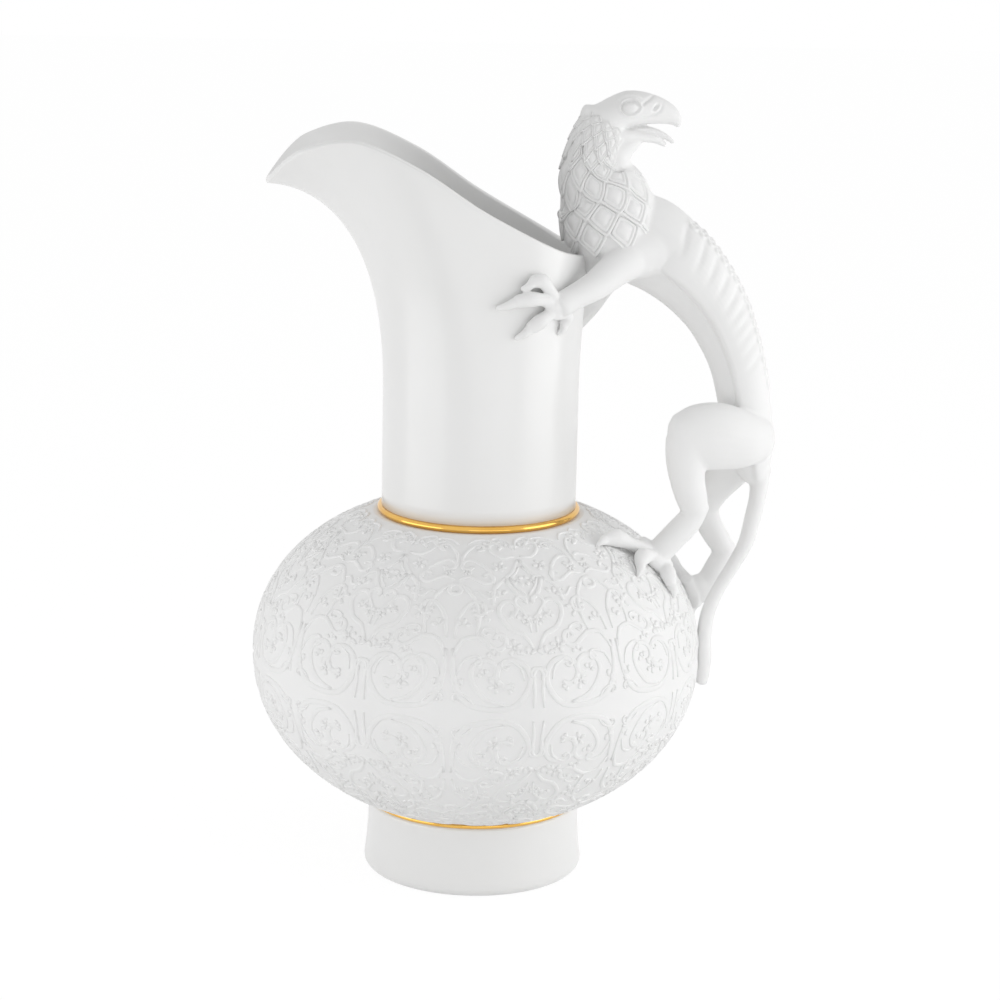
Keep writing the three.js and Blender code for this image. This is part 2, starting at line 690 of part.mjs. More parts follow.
/** The griffin's castings, each trimmed by the ones that it is luted to. */
function griffinSolids() {
  const cutters = [neckCutter(), bulbCutter()];
  const castings = [];
  for (const [name, form] of Object.entries(castingForms)) {
    castings.push([name, trim(form(0), cutters)]);
    cutters.push(form(SEAM));
  }
  return castings;
}

// Assembly

const axis = (z) => new THREE.Vector3(0, 0, z);
const bandInner = { foot: FOOT_TOP_RADIUS - WALL, neck: NECK_RADIUS - WALL };

const vessel = new THREE.Group();
const footBand = mesh('foot_gold_band', band(bandInner.foot, footBandRadius, FOOT_BAND_HEIGHT), gold());
footBand.position.z = FOOT_HEIGHT;
const neckBand = mesh('neck_gold_band', band(bandInner.neck, neckBandRadius, NECK_BAND_HEIGHT), gold());
neckBand.position.z = BULB_TOP;
vessel.add(mesh('foot', foot(), glaze()), footBand, neckBand);
const luted = Object.values(onBulb).map((form) => form(SEAM));
vessel.add(mesh('bulb', bulb(luted), biscuit(), axis(BULB_BOTTOM)));
vessel.add(mesh('neck', neck(), glaze(), axis(NECK_BOTTOM)));

const griffin = new THREE.Group();
griffin.position.copy(rimBack);
for (const [name, body] of griffinSolids()) {
  const part = mesh(name, body, biscuit(), rimBack);
  part.position.sub(griffin.position);
  griffin.add(part);
}

const jug = new THREE.Group();
jug.add(vessel, griffin);

export default jug;
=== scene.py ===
"""Looks of a porcelain jug: glazed foot and neck, relief bulb, gilded bands, a biscuit griffin handle."""
import logging
import math
from dataclasses import dataclass, field
from enum import Enum
from typing import Iterable, Sequence

import bmesh
import bpy
import numpy as np
from bmesh.types import BMEdge, BMesh, BMVert
from bpy.types import Material, Mesh, Node, NodeSocket, NodeTree, Object
from mathutils import Matrix, Vector
from mathutils.bvhtree import BVHTree


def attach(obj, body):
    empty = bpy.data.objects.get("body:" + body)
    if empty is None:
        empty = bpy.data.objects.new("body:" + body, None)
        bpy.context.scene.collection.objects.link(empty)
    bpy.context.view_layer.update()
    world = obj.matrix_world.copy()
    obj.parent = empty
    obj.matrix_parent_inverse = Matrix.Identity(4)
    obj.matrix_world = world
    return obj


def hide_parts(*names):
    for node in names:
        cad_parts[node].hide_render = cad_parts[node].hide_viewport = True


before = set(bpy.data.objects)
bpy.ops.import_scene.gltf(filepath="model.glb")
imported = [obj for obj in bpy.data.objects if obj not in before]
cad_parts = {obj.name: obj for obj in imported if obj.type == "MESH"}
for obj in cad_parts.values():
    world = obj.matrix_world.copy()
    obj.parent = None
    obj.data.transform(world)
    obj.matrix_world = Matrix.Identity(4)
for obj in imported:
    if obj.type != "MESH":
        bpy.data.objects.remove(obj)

LOG = logging.getLogger("jug")
MM = 0.001
BODY = "root"
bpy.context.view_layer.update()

Row = tuple[float, ...]
Edges = list[BMEdge]
Groove = tuple[np.ndarray, float, float]


class Slot(Enum):
    """The record's material slots."""

    GLAZE = "glazed_porcelain"
    BISCUIT = "biscuit_porcelain"
    GILDING = "gilding"


# Curves and meshes in millimetres


def flow(rows: Sequence[Sequence[float]], steps: int, closed: bool = False) -> np.ndarray:
    """Runs a smooth curve through rows of numbers, paced by the distances of their first three columns.

    Args:
        rows: Points in millimetres, each with any sizes that go with it.
        steps: Samples of each span.
        closed: Whether the curve returns to its first row.

    Returns:
        One row for each sample, with the last row too where the curve is open.
    """
    knots = np.asarray(rows, float)
    count = len(knots) if closed else len(knots) - 1
    if closed:
        knots = np.vstack([knots[-2:], knots, knots[:3]])
    gaps = np.sqrt(np.linalg.norm(np.diff(knots[:, :3], axis=0), axis=1))
    slopes = np.gradient(knots, np.concatenate([[0.0], np.cumsum(gaps)]), axis=0)
    span = np.repeat(np.arange(count), steps) + (2 if closed else 0)
    t = np.tile(np.arange(steps) / steps, count)[:, None]
    pace = gaps[span][:, None]
    made = (1 + 2 * t) * (1 - t) ** 2 * knots[span] + t * (1 - t) ** 2 * pace * slopes[span]
    made += t * t * (3 - 2 * t) * knots[span + 1] - t * t * (1 - t) * pace * slopes[span + 1]
    return made if closed else np.vstack([made, knots[-1]])


def arc(centre: Row, radii: Row, start: float, end: float, steps: int) -> list[Row]:
    """Points of an elliptic arc in radius and height.

    Args:
        centre: Middle of the ellipse.
        radii: Its two half axes.
        start: First angle in degrees.
        end: Last angle in degrees.
        steps: Number of spans.

    Returns:
        The points, ends included.
    """
    angles = np.radians(np.linspace(start, end, steps + 1))
    return [(centre[0] + radii[0] * math.cos(a), centre[1] + radii[1] * math.sin(a)) for a in angles]


def lathe(profile: Sequence[Row], steps: int) -> BMesh:
    """Turns a profile about the jug's axis into a closed body.

    Args:
        profile: Radius and height of each point. It closes on itself unless it ends on the axis.
        steps: Facets of the full turn.

    Returns:
        The turned body.
    """
    bm = bmesh.new()
    verts = [bm.verts.new((radius, 0, height)) for radius, height in profile]
    pairs = list(zip(verts, verts[1:]))
    if profile[0][0] > 0:
        pairs.append((verts[-1], verts[0]))
    edges = [bm.edges.new(pair) for pair in pairs]
    bmesh.ops.spin(bm, geom=verts + edges, axis=(0, 0, 1), angle=math.tau, steps=steps, use_merge=True)
    bmesh.ops.remove_doubles(bm, verts=bm.verts, dist=1e-4)
    return bm


def loop(bm: BMesh, points: Iterable[Sequence[float]]) -> Edges:
    """Draws a closed loop of edges.

    Args:
        bm: Mesh to draw in.
        points: Corners of the loop.

    Returns:
        The loop's edges.
    """
    verts = [bm.verts.new(p) for p in points]
    return [bm.edges.new(pair) for pair in zip(verts, verts[1:] + verts[:1])]


def circle(bm: BMesh, sides: int) -> tuple[list[BMVert], Edges]:
    """Draws a unit circle about the origin.

    Args:
        bm: Mesh to draw in.
        sides: Number of its corners.

    Returns:
        The circle's vertices and edges.
    """
    verts = bmesh.ops.create_circle(bm, segments=sides, radius=1.0)["verts"]
    return verts, list(dict.fromkeys(edge for vert in verts for edge in vert.link_edges))


def bridge(bm: BMesh, loops: Sequence[Edges], closed: bool = False) -> None:
    """Skins a row of loops, each to the next.

    Args:
        bm: Mesh that holds the loops.
        loops: Edge loops of equal counts.
        closed: Whether the last loop joins the first, or else both ends are filled.
    """
    pairs = list(zip(loops, loops[1:]))
    if closed:
        pairs.append((loops[-1], loops[0]))
    for near, far in pairs:
        bmesh.ops.bridge_loops(bm, edges=near + far)
    if not closed:
        bmesh.ops.holes_fill(bm, edges=loops[0] + loops[-1], sides=0)


def as_mesh(name: str, bm: BMesh) -> Mesh:
    """Turns a bmesh into a mesh.

    Args:
        name: Name of the mesh.
        bm: What it is made from, which is freed.

    Returns:
        The new mesh.
    """
    mesh = bpy.data.meshes.new(name)
    bm.to_mesh(mesh)
    bm.free()
    return mesh


def pour(bm: BMesh, whole: BMesh) -> None:
    """Adds one bmesh to another.

    Args:
        bm: What is added, which is freed.
        whole: What it is added to.
    """
    part = as_mesh("part", bm)
    whole.from_mesh(part)
    bpy.data.meshes.remove(part)


def as_object(name: str, bm: BMesh) -> Object:
    """Turns a mesh in millimetres into an object in metres at the origin.

    Args:
        name: Name of the piece.
        bm: Closed body, which is freed.

    Returns:
        The new object, shaded smooth.
    """
    bmesh.ops.recalc_face_normals(bm, faces=bm.faces)
    if bm.calc_volume(signed=True) < 0:
        bmesh.ops.reverse_faces(bm, faces=bm.faces)
    bmesh.ops.scale(bm, vec=(MM, MM, MM), verts=bm.verts)
    mesh = as_mesh(name, bm)
    mesh.shade_smooth()
    piece = bpy.data.objects.new(name, mesh)
    bpy.context.scene.collection.objects.link(piece)
    return piece


def settle(piece: Object, finish: Material, nodes: Sequence[str] = ()) -> None:
    """Dresses a piece and ties it to the frame.

    Args:
        piece: The finished piece.
        finish: Its material.
        nodes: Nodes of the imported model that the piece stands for.
    """
    piece.data.materials.clear()
    piece.data.materials.append(finish)
    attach(piece, BODY)
    if nodes:
        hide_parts(*nodes)
    LOG.info("%s: %d faces", piece.name, len(piece.data.polygons))


# Finishes


class NodeSheet:
    """A node tree with short ways to add and link nodes."""

    def __init__(self, tree: NodeTree) -> None:
        """Wraps a tree and clears it."""
        self.tree = tree
        tree.nodes.clear()

    def add(self, kind: str, **inputs: object) -> Node:
        """Adds a node and sets or links its inputs.

        Args:
            kind: Blender's type of the node.
            inputs: Values or sockets by input name, with underscores for spaces.

        Returns:
            The new node.
        """
        made = self.tree.nodes.new(kind)
        for name, value in inputs.items():
            self.feed(made.inputs[name.replace("_", " ")], value)
        return made

    def feed(self, socket: NodeSocket, value: object) -> None:
        """Links a socket to another one, or sets its value.

        Args:
            socket: Input to feed.
            value: Socket to link, or value to set.
        """
        if isinstance(value, NodeSocket):
            self.tree.links.new(value, socket)
        else:
            socket.default_value = value

    def remap(self, value: NodeSocket, source: Row, target: Row) -> NodeSocket:
        """Maps a value from one range to another.

        Args:
            value: Socket to read.
            source: Range that it comes in.
            target: Range that it goes out in.

        Returns:
            The mapped socket.
        """
        made = self.add("ShaderNodeMapRange", Value=value)
        made.interpolation_type = "SMOOTHSTEP"
        for name, number in zip(("From Min", "From Max", "To Min", "To Max"), source + target):
            made.inputs[name].default_value = number
        return made.outputs["Result"]

    def blend(self, share: NodeSocket, low: object, high: object) -> NodeSocket:
        """Mixes two colours.

        Args:
            share: Share of the second colour.
            low: First colour or socket.
            high: Second colour or socket.

        Returns:
            The mixed colour.
        """
        made = self.tree.nodes.new("ShaderNodeMix")
        made.data_type = "RGBA"
        for index, value in ((0, share), (6, low), (7, high)):
            self.feed(made.inputs[index], value)
        return made.outputs[2]

    def math(self, operation: str, first: object, second: object) -> NodeSocket:
        """Works out one sum of two values.

        Args:
            operation: Blender's name of the sum.
            first: First value or socket.
            second: Second value or socket.

        Returns:
            The result.
        """
        made = self.tree.nodes.new("ShaderNodeMath")
        made.operation = operation
        self.feed(made.inputs[0], first)
        self.feed(made.inputs[1], second)
        return made.outputs[0]

    def mix(self, share: object, first: Node, second: Node) -> NodeSocket:
        """Mixes two shaders.

        Args:
            share: Share of the second shader.
            first: Node of the first shader.
            second: Node of the second shader.

        Returns:
            The mixed shader.
        """
        made = self.tree.nodes.new("ShaderNodeMixShader")
        for socket, value in zip(made.inputs, (share, first.outputs[0], second.outputs[0])):
            self.feed(socket, value)
        return made.outputs[0]


def fired_surface() -> NodeTree:
    """Builds the shared group of a fired surface: kiln clouds, fine grain and rare pinholes.

    Returns:
        The node group, with a colour, a roughness and a height that change over the surface.
    """
    group = bpy.data.node_groups.new("Fired surface", "ShaderNodeTree")
    sheet = NodeSheet(group)
    colours = ("Body", "Shade")
    numbers = ("Cloud Scale", "Grain Scale", "Pinhole Scale", "Smooth", "Rough")
    for name in colours:
        group.interface.new_socket(name, in_out="INPUT", socket_type="NodeSocketColor")
    for name in numbers:
        group.interface.new_socket(name, in_out="INPUT", socket_type="NodeSocketFloat")
    group.interface.new_socket("Color", in_out="OUTPUT", socket_type="NodeSocketColor")
    group.interface.new_socket("Roughness", in_out="OUTPUT", socket_type="NodeSocketFloat")
    group.interface.new_socket("Height", in_out="OUTPUT", socket_type="NodeSocketFloat")
    given = sheet.add("NodeGroupInput").outputs
    place = sheet.add("ShaderNodeTexCoord").outputs["Object"]
    cloud = sheet.add("ShaderNodeTexNoise", Vector=place, Scale=given["Cloud Scale"], Detail=3.0)
    grain = sheet.add("ShaderNodeTexNoise", Vector=place, Scale=given["Grain Scale"])
    grain.inputs["Detail"].default_value = 4.0
    grain.inputs["Roughness"].default_value = 0.6
    pinhole = sheet.add("ShaderNodeTexVoronoi", Vector=place, Scale=given["Pinhole Scale"])
    noise_range, unit_range = (0.3, 0.7), (0.0, 1.0)
    pit = sheet.remap(pinhole.outputs["Distance"], (0.03, 0.07), (0.6, 1.0))
    mottle = sheet.remap(cloud.outputs["Fac"], noise_range, unit_range)
    speck = sheet.math("MULTIPLY", sheet.remap(grain.outputs["Fac"], (0.62, 0.8), (0.0, 0.5)), mottle)
    tone = sheet.math("MAXIMUM", mottle, speck)
    spread = sheet.math("SUBTRACT", given["Rough"], given["Smooth"])
    share = sheet.math("MULTIPLY", spread, sheet.remap(grain.outputs["Fac"], noise_range, unit_range))
    height = sheet.math("MULTIPLY", grain.outputs["Fac"], pit)
    out = sheet.add("NodeGroupOutput")
    sheet.feed(out.inputs["Color"], sheet.blend(tone, given["Body"], given["Shade"]))
    sheet.feed(out.inputs["Roughness"], sheet.math("ADD", given["Smooth"], share))
    sheet.feed(out.inputs["Height"], height)
    return group


@dataclass(frozen=True)
class Finish:
    """A fired finish: colours, the scales of its texture per metre, and its gloss."""

    name: str
    body: Row
    shade: Row
    cloud_scale: float
    grain_scale: float
    pinhole_scale: float
    smooth: float
    rough: float
    relief: float
    metallic: float = 0.0
    coat: float = 0.0
    coat_rough: float = 0.04
    bump: float = 0.6

    def material(self, surface: NodeTree) -> Material:
        """Builds the material around the shared surface group.

        Args:
            surface: The group that `fired_surface` makes.

        Returns:
            The material.
        """
        made = bpy.data.materials.new(self.name)
        made.use_nodes = True
        sheet = NodeSheet(made.node_tree)
        skin = made.node_tree.nodes.new("ShaderNodeGroup")
        skin.node_tree = surface
        values = (self.cloud_scale, self.grain_scale, self.pinhole_scale, self.smooth, self.rough)
        for socket, value in zip(skin.inputs, (self.body, self.shade, *values)):
            socket.default_value = value
        bump = sheet.add("ShaderNodeBump", Height=skin.outputs["Height"])
        bump.inputs["Strength"].default_value = self.bump
        bump.inputs["Distance"].default_value = self.relief * MM
        shader = sheet.add("ShaderNodeBsdfPrincipled", Base_Color=skin.outputs["Color"])
        sheet.feed(shader.inputs["Roughness"], skin.outputs["Roughness"])
        sheet.feed(shader.inputs["Normal"], bump.outputs["Normal"])
        shader.inputs["Metallic"].default_value = self.metallic
        shader.inputs["Coat Weight"].default_value = self.coat
        shader.inputs["Coat Roughness"].default_value = self.coat_rough
        sheet.add("ShaderNodeOutputMaterial", Surface=shader.outputs["BSDF"])
        return made


GLAZED = Finish(
    "glazed porcelain", (0.86, 0.86, 0.856, 1), (0.84, 0.84, 0.833, 1),
    cloud_scale=14.0, grain_scale=120.0, pinhole_scale=40.0, smooth=0.3, rough=0.36, relief=0.012,
    coat=0.3, coat_rough=0.16,
)
BISCUIT = Finish(
    "biscuit porcelain", (0.89, 0.89, 0.887, 1), (0.865, 0.865, 0.861, 1),
    cloud_scale=32.0, grain_scale=1900.0, pinhole_scale=420.0, smooth=0.58, rough=0.72, relief=0.05,
)
GILT = Finish(
    "burnished gilding", (0.80, 0.48, 0.125, 1), (0.74, 0.42, 0.095, 1),
    cloud_scale=70.0, grain_scale=600.0, pinhole_scale=300.0, smooth=0.08, rough=0.15, relief=0.008,
    metallic=1.0,
)


# Vessel


@dataclass
class Foot:
    """The glazed foot: a cup with a flat ground base and a softly waisted wall."""

    radius: float = 43.8
    top_radius: float = 42.2
    height: float = 28.1
    edge: float = 3.4
    wall: float = 4.0
    floor: float = 5.0
    steps: int = 160
    edge_steps: int = 8
    wall_points: int = 14

    def build(self) -> Object:
        """Turns the foot.

        Returns:
            The foot.
        """
        seat = self.radius - self.edge
        profile = [(0.0, 0.0), (seat * 0.5, 0.0)]
        profile += arc((seat, self.edge), (self.edge, self.edge), -90, 0, self.edge_steps)
        rise = self.height - self.edge
        flare = self.radius - self.top_radius
        for share in np.linspace(0.1, 1.0, self.wall_points):
            bow = (1 - share) ** 2
            profile.append((self.top_radius + flare * bow, self.edge + rise * share))
        inner = self.top_radius - self.wall
        profile += [(inner, self.height), (inner, self.floor * 1.5)]
        profile += [(inner - self.floor * 0.5, self.floor), (inner * 0.5, self.floor), (0.0, self.floor)]
        return as_object("foot_porcelain", lathe(profile, self.steps))


@dataclass
class GiltBand:
    """A gilded ring with a rounded face."""

    name: str
    node: str
    inner: float
    outer: float
    bottom: float
    height: float
    steps: int = 192
    face_steps: int = 12

    def build(self) -> Object:
        """Turns the ring.

        Returns:
            The ring.
        """
        crown = self.height / 2
        face = arc((self.outer - crown, self.bottom + crown), (crown, crown), -90, 90, self.face_steps)
        profile = [(self.inner, self.bottom), *face, (self.inner, self.bottom + self.height)]
        return as_object(self.name, lathe(profile, self.steps))


@dataclass
class Bulb:
    """The round body: two superelliptic halves that meet at the equator."""

    radius: float = 88.7
    bottom: float = 30.1
    equator: float = 89.1
    top: float = 146.5
    bottom_radius: float = 42.9
    top_radius: float = 41.7
    lower_fullness: float = 2.03
    upper_fullness: float = 2.16
    wall: float = 4.0
    top_ledge: float = 3.3
    bottom_ledge: float = 0.7
    outer_spans: int = 90
    inner_spans: int = 40
    steps: int = 192

    def radius_at(self, z: float, offset: float = 0.0) -> float:
        """Radius of the wall at a height, offset outwards.

        Args:
            z: Height in millimetres.
            offset: Distance that the wall is moved out.

        Returns:
            The radius in millimetres.
        """
        upper = z > self.equator
        fullness = self.upper_fullness if upper else self.lower_fullness
        seat = self.top_radius if upper else self.bottom_radius
        height = (self.top if upper else self.bottom) - self.equator
        full = abs(height) / (1 - (seat / self.radius) ** fullness) ** (1 / fullness) + offset
        share = min(abs(z - self.equator) / full, 1.0)
        return (self.radius + offset) * (1 - share**fullness) ** (1 / fullness)

    def outline(self, spans: int, offset: float = 0.0) -> list[Row]:
        """Radius and height from the lower seat to the upper one, closer together at the seats.

        Args:
            spans: Number of spans.
            offset: Distance that the wall is moved out.

        Returns:
            The points.
        """
        points = []
        for share in np.linspace(-1, 1, spans + 1):
            swing = math.sin(share * math.pi / 2)
            z = self.equator + abs(swing) * ((self.top if swing > 0 else self.bottom) - self.equator)
            points.append((self.radius_at(z, offset), z))
        return points

    def build(self) -> Object:
        """Turns the bulb's wall.

        Returns:
            The wall.
        """
        inner = self.outline(self.inner_spans, -self.wall)[::-1]
        inner[0] = (self.top_radius - self.wall - self.top_ledge, self.top)
        inner[-1] = (self.bottom_radius - self.wall - self.bottom_ledge, self.bottom)
        return as_object("bulb_porcelain", lathe(self.outline(self.outer_spans) + inner, self.steps))


@dataclass
class Neck:
    """The glazed neck: straight at first, then flaring into a wide pouring lip."""

    bottom: float = 149.3
    radius: float = 38.4
    straight: float = 46.0
    wall: float = 4.0
    lip: float = 2.8
    # Rim from the back to the spout's tip: reach, half width and rise above the neck's foot
    rim: tuple[Row, ...] = (
        (40.5, 0.0, 99.6),
        (28.6, 26.0, 104.2),
        (0.0, 36.8, 119.4),
        (-26.0, 39.3, 136.0),
        (-51.0, 34.6, 145.4),
        (-70.0, 26.2, 140.4),
        (-83.4, 0.0, 126.0),
    )
    half_steps: int = 96
    fine_steps: int = 60
    side_span: int = 2
    straight_rows: int = 8
    rows: int = 36
    # How far the wall climbs before it bends, at the back and more at the spout
    climb: float = 0.4
    spout_climb: float = 0.46
    # How the wall comes to the rim, at the back and at the spout's tip
    lean: float = 0.1
    lean_rise: float = 0.35
    spout_lean: Row = (-15.0, 0.0, 0.6)
    lip_turns: Row = (15, 165)
    lip_rows: int = 9
    lip_round: float = 0.7

    def rim_points(self) -> np.ndarray:
        """Points of the rim, as many from the back to the side as from the side to the tip.

        Returns:
            One row for each point, all round.
        """
        near = [(x, y, self.bottom + rise) for x, y, rise in self.rim]
        far = [(x, -y, z) for x, y, z in near[-2:0:-1]]
        fine = flow(near + far, self.fine_steps, closed=True)
        half = fine[: self.fine_steps * (len(near) - 1) + 1]
        side = self.fine_steps * self.side_span
        quarter = self.half_steps // 2
        back = np.linspace(0, side, quarter + 1)
        front = np.linspace(side, len(half) - 1, quarter + 1)
        picks = np.concatenate([back, front[1:]])
        half = np.stack([np.interp(picks, np.arange(len(half)), half[:, k]) for k in range(3)], 1)
        return np.vstack([half, half[-2:0:-1] * (1, -1, 1)])

    def outer_rows(self) -> list[np.ndarray]:
        """Rings of the outer face from the neck's foot to the rim.

        Returns:
            The rings, with as many points each as the rim.
        """
        rim = self.rim_points()
        angle = np.arange(len(rim)) / len(rim) * math.tau
        circle = np.stack([np.cos(angle) * self.radius, np.sin(angle) * self.radius, np.zeros(len(rim))], 1)
        start = circle + (0, 0, self.bottom + self.straight)
        spout = np.maximum(0, -np.cos(angle))[:, None] ** 2
        rise = (rim - start)[:, 2:]
        up = np.array([0.0, 0.0, 1.0])
        climb = start + up * rise * (self.climb + self.spout_climb * spout)
        lean = (rim - start) * (self.lean, self.lean, 0) + up * rise * self.lean_rise
        approach = rim - (lean * (1 - spout) + np.array(self.spout_lean) * spout)
        shares = np.linspace(0, 1, self.straight_rows + 1)[:-1]
        rings = [circle + (0, 0, self.bottom + self.straight * share) for share in shares]
        for t in np.linspace(0, 1, self.rows):
            ring = (1 - t) ** 3 * start + 3 * t * (1 - t) ** 2 * climb
            rings.append(ring + 3 * t * t * (1 - t) * approach + t**3 * rim)
        return rings

    def build(self) -> Object:
        """Skins the outer face, the rounded lip and the inner face.

        Returns:
            The neck.
        """
        stack = np.stack(self.outer_rows())
        around = np.roll(stack, -1, 1) - np.roll(stack, 1, 1)
        along = np.gradient(stack, axis=0)
        normal = np.cross(around, along)
        normal /= np.linalg.norm(normal, axis=2, keepdims=True)
        thick = np.linspace(self.wall, self.lip, len(stack))[:, None, None]
        inner = stack - normal * thick
        tangent = along[-1] / np.linalg.norm(along[-1], axis=1, keepdims=True)
        middle = (stack[-1] + inner[-1]) / 2
        lip = []
        for turn in np.radians(np.linspace(*self.lip_turns, self.lip_rows)):
            bulge = normal[-1] * math.cos(turn) + tangent * math.sin(turn) * self.lip_round
            lip.append(middle + bulge * self.lip / 2)
        bm = bmesh.new()
        loops = [loop(bm, ring) for ring in [*stack, *lip, *inner[::-1]]]
        bridge(bm, loops, closed=True)
        return as_object("neck_porcelain", bm)


@dataclass
class Scrollwork:
    """Relief on the bulb: ribbon scrolls, stems, flowers and straps, drawn in one cell and mirrored.

    A place in the cell is its share across, from one mirror line to the next, and the distance along
    the wall from the equator in millimetres.
    """

    bulb: Bulb
    units: int = 8
    turn: float = -0.16
    line: float = 0.62
    full_height: float = 0.5
    # Depth of a wide line's crease, the half width from which it starts, and the span over which it grows
    crease: float = 0.16
    crease_from: float = 0.75
    crease_span: float = 0.3
    # Width of a cell, in millimetres, that paces a stroke
    pace: float = 30.0
    # Share of a curl's radius that it loses, degrees of a step, a bud's girth, and a small curl's radius
    curl_in: float = 0.62
    curl_step: float = 36.0
    bud: float = 1.6
    small_curl: float = 5.0
    # Girth of a tendril at its start and at its last two points
    tendril_girth: Row = (0.5, 0.95, 1.2)
    # Points along a petal, and the half length and girth of a flower's heart
    petal_steps: Row = (0.3, 0.6, 0.85, 1.0)
    heart: float = 0.35
    heart_girth: Row = (0.9, 1.5, 0.9)
    wall_samples: int = 300
    # Section of a raised line: shares of its half width, and heights in millimetres
    section: tuple[Row, ...] = (
        (-1.04, -0.8),
        (-0.92, 0.14),
        (-0.58, 0.43),
        (0.0, 0.46),
        (0.58, 0.43),
        (0.92, 0.14),
        (1.04, -0.8),
    )
    # Tendrils: path of the stem, then radius and sweep of the curl, and girth
    tendrils: tuple[tuple, ...] = (
        # Beside the equator
        (((0.04, 25), (0.07, 13), (0.2, 5.0), (0.48, 2.4), (0.72, 3.4), (0.86, 8.5)), 8.6, 330, 1.9),
        (((0.62, 4.0), (0.42, 6.2), (0.28, 12.0)), 6.6, -300, 1.6),
        (((0.94, 2.6), (0.955, 9.0), (0.945, 15.0)), 3.0, -280, 1.2),
        (((0.3, 3.4), (0.22, 7.0), (0.12, 8.4)), 2.0, 250, 0.8),
        (((0.84, 13.0), (0.8, 18.0), (0.68, 20.8)), 2.4, 290, 0.9),
        (((0.09, 15.0), (0.16, 20.5), (0.28, 22.4)), 2.4, -280, 0.9),
        # On the shoulder
        (((0.05, 22), (0.14, 28.5), (0.33, 29.5), (0.5, 25.5)), 3.8, 300, 1.5),
        (((0.97, 25), (0.86, 30.5), (0.72, 32.5), (0.6, 38)), 4.8, -300, 1.6),
        (((0.05, 29), (0.08, 37.0), (0.2, 42.5)), 4.2, -290, 1.4),
        (((0.3, 30), (0.34, 37), (0.26, 46), (0.1, 51)), 3.4, 270, 1.3),
        (((0.97, 31), (0.93, 38), (0.82, 42)), 3.2, -260, 1.2),
        (((0.6, 28.0), (0.54, 32.5), (0.44, 33.4)), 2.0, 270, 0.8),
        (((0.24, 47.5), (0.34, 48.5), (0.42, 46.0)), 2.2, 280, 0.8),
        # Near the seat
        (((0.04, 54), (0.2, 55.5), (0.4, 52.5)), 3.2, 290, 1.3),
        (((0.55, 52), (0.48, 59.0), (0.28, 63.5)), 3.6, 300, 1.4),
        (((0.95, 66), (0.74, 65.5), (0.55, 69.5)), 3.2, -300, 1.3),
        (((0.05, 60), (0.06, 67), (0.22, 72.0)), 2.6, -270, 1.1),
        (((0.08, 73.0), (0.24, 76.2), (0.46, 76.6)), 2.0, -290, 1.0),
        (((0.97, 70.0), (0.92, 75.0), (0.76, 77.2)), 2.2, 300, 1.1),
    )
    # Flowers: place, length of the petals, their number and the direction of the first
    flowers: tuple[tuple, ...] = (
        # Beside the equator
        ((0.52, 11.6), 3.1, 5, 60),
        # On the shoulder
        ((0.38, 39.5), 4.2),
        ((0.74, 25.5), 3.2, 5, 20),
        ((0.93, 36.0), 2.2, 5, 50),
        ((0.9, 53.4), 2.9, 4, 45),
        # Near the seat
        ((0.66, 60.6), 2.8, 5, 0),
        ((0.14, 57.8), 2.0, 5, 30),
    )
    # Sprays: place, length of the petals, their directions and their girth
    sprays: tuple[tuple, ...] = (
        # Beside the equator
        ((0.4, 15.0), 2.8, (70, 120, 170)),
        ((0.66, 10.8), 2.6, (290, 340, 30)),
        ((0.16, 10.5), 3.6, (100, 150, 200)),
        ((0.9, 22.0), 3.8, (40, 95, 150)),
        ((0.5, 22.4), 2.6, (20, 90, 160)),
        # On the shoulder
        ((0.14, 33.5), 3.4, (20, 75, 130)),
        ((0.64, 46.0), 3.6, (60, 115, 170)),
        ((0.78, 36.6), 2.4, (40, 90, 140)),
        # Near the seat
        ((0.86, 71.0), 3.0, (30, 90, 150)),
        ((0.4, 72.0), 2.4, (200, 260, 320), 1.3),
        ((0.62, 73.0), 2.2, (40, 90, 140), 1.3),
    )
    # Straps in a lattice, and the thin lines beside them
    strap_girth: Row = (1.2, 1.6, 1.2)
    straps: tuple[tuple[Row, ...], ...] = (
        ((0.98, 43.5), (0.84, 48.0), (0.72, 54.5)),
        ((0.72, 54.5), (0.86, 58.0), (0.98, 64.0)),
        ((0.52, 43.0), (0.56, 50.5), (0.72, 54.5)),
    )
    thin_girth: Row = (0.7, 0.8, 0.7)
    thin_straps: tuple[tuple[Row, ...], ...] = (
        ((0.98, 47.0), (0.87, 50.4), (0.79, 54.4)),
        ((0.79, 54.8), (0.88, 56.6), (0.98, 60.4)),
    )
    strokes: list[tuple[np.ndarray, np.ndarray]] = field(default_factory=list)

    def __post_init__(self) -> None:
        """Measures the wall from the equator up and down."""
        self.half = math.pi / self.units
        self.walls = {}
        for side in (1, -1):
            end = self.bulb.top if side > 0 else self.bulb.bottom
            swing = np.sin(np.linspace(0, math.pi / 2, self.wall_samples))
            heights = self.bulb.equator + (end - self.bulb.equator) * swing
            radii = np.array([self.bulb.radius_at(z) for z in heights])
            run = np.concatenate([[0.0], np.cumsum(np.hypot(np.diff(radii), np.diff(heights)))])
            self.walls[side] = (run, radii, heights)

    def width(self, rise: float) -> float:
        """Width of the cell at a distance from the equator."""
        run, radii, _ = self.walls[1]
        return float(np.interp(rise, run, radii)) * self.half

    def stroke(self, points: Sequence[Row], girth: Sequence[float], steps: int = 3) -> None:
        """Keeps one raised line.

        Args:
            points: Its path in the cell.
            girth: Its half width at each point, as shares of the plain line.
            steps: Samples between two points.
        """
        rows = flow([(x * self.pace, y, 0.0, g) for (x, y), g in zip(points, girth)], steps)
        self.strokes.append((rows[:, :2] / (self.pace, 1), rows[:, 3] * self.line))

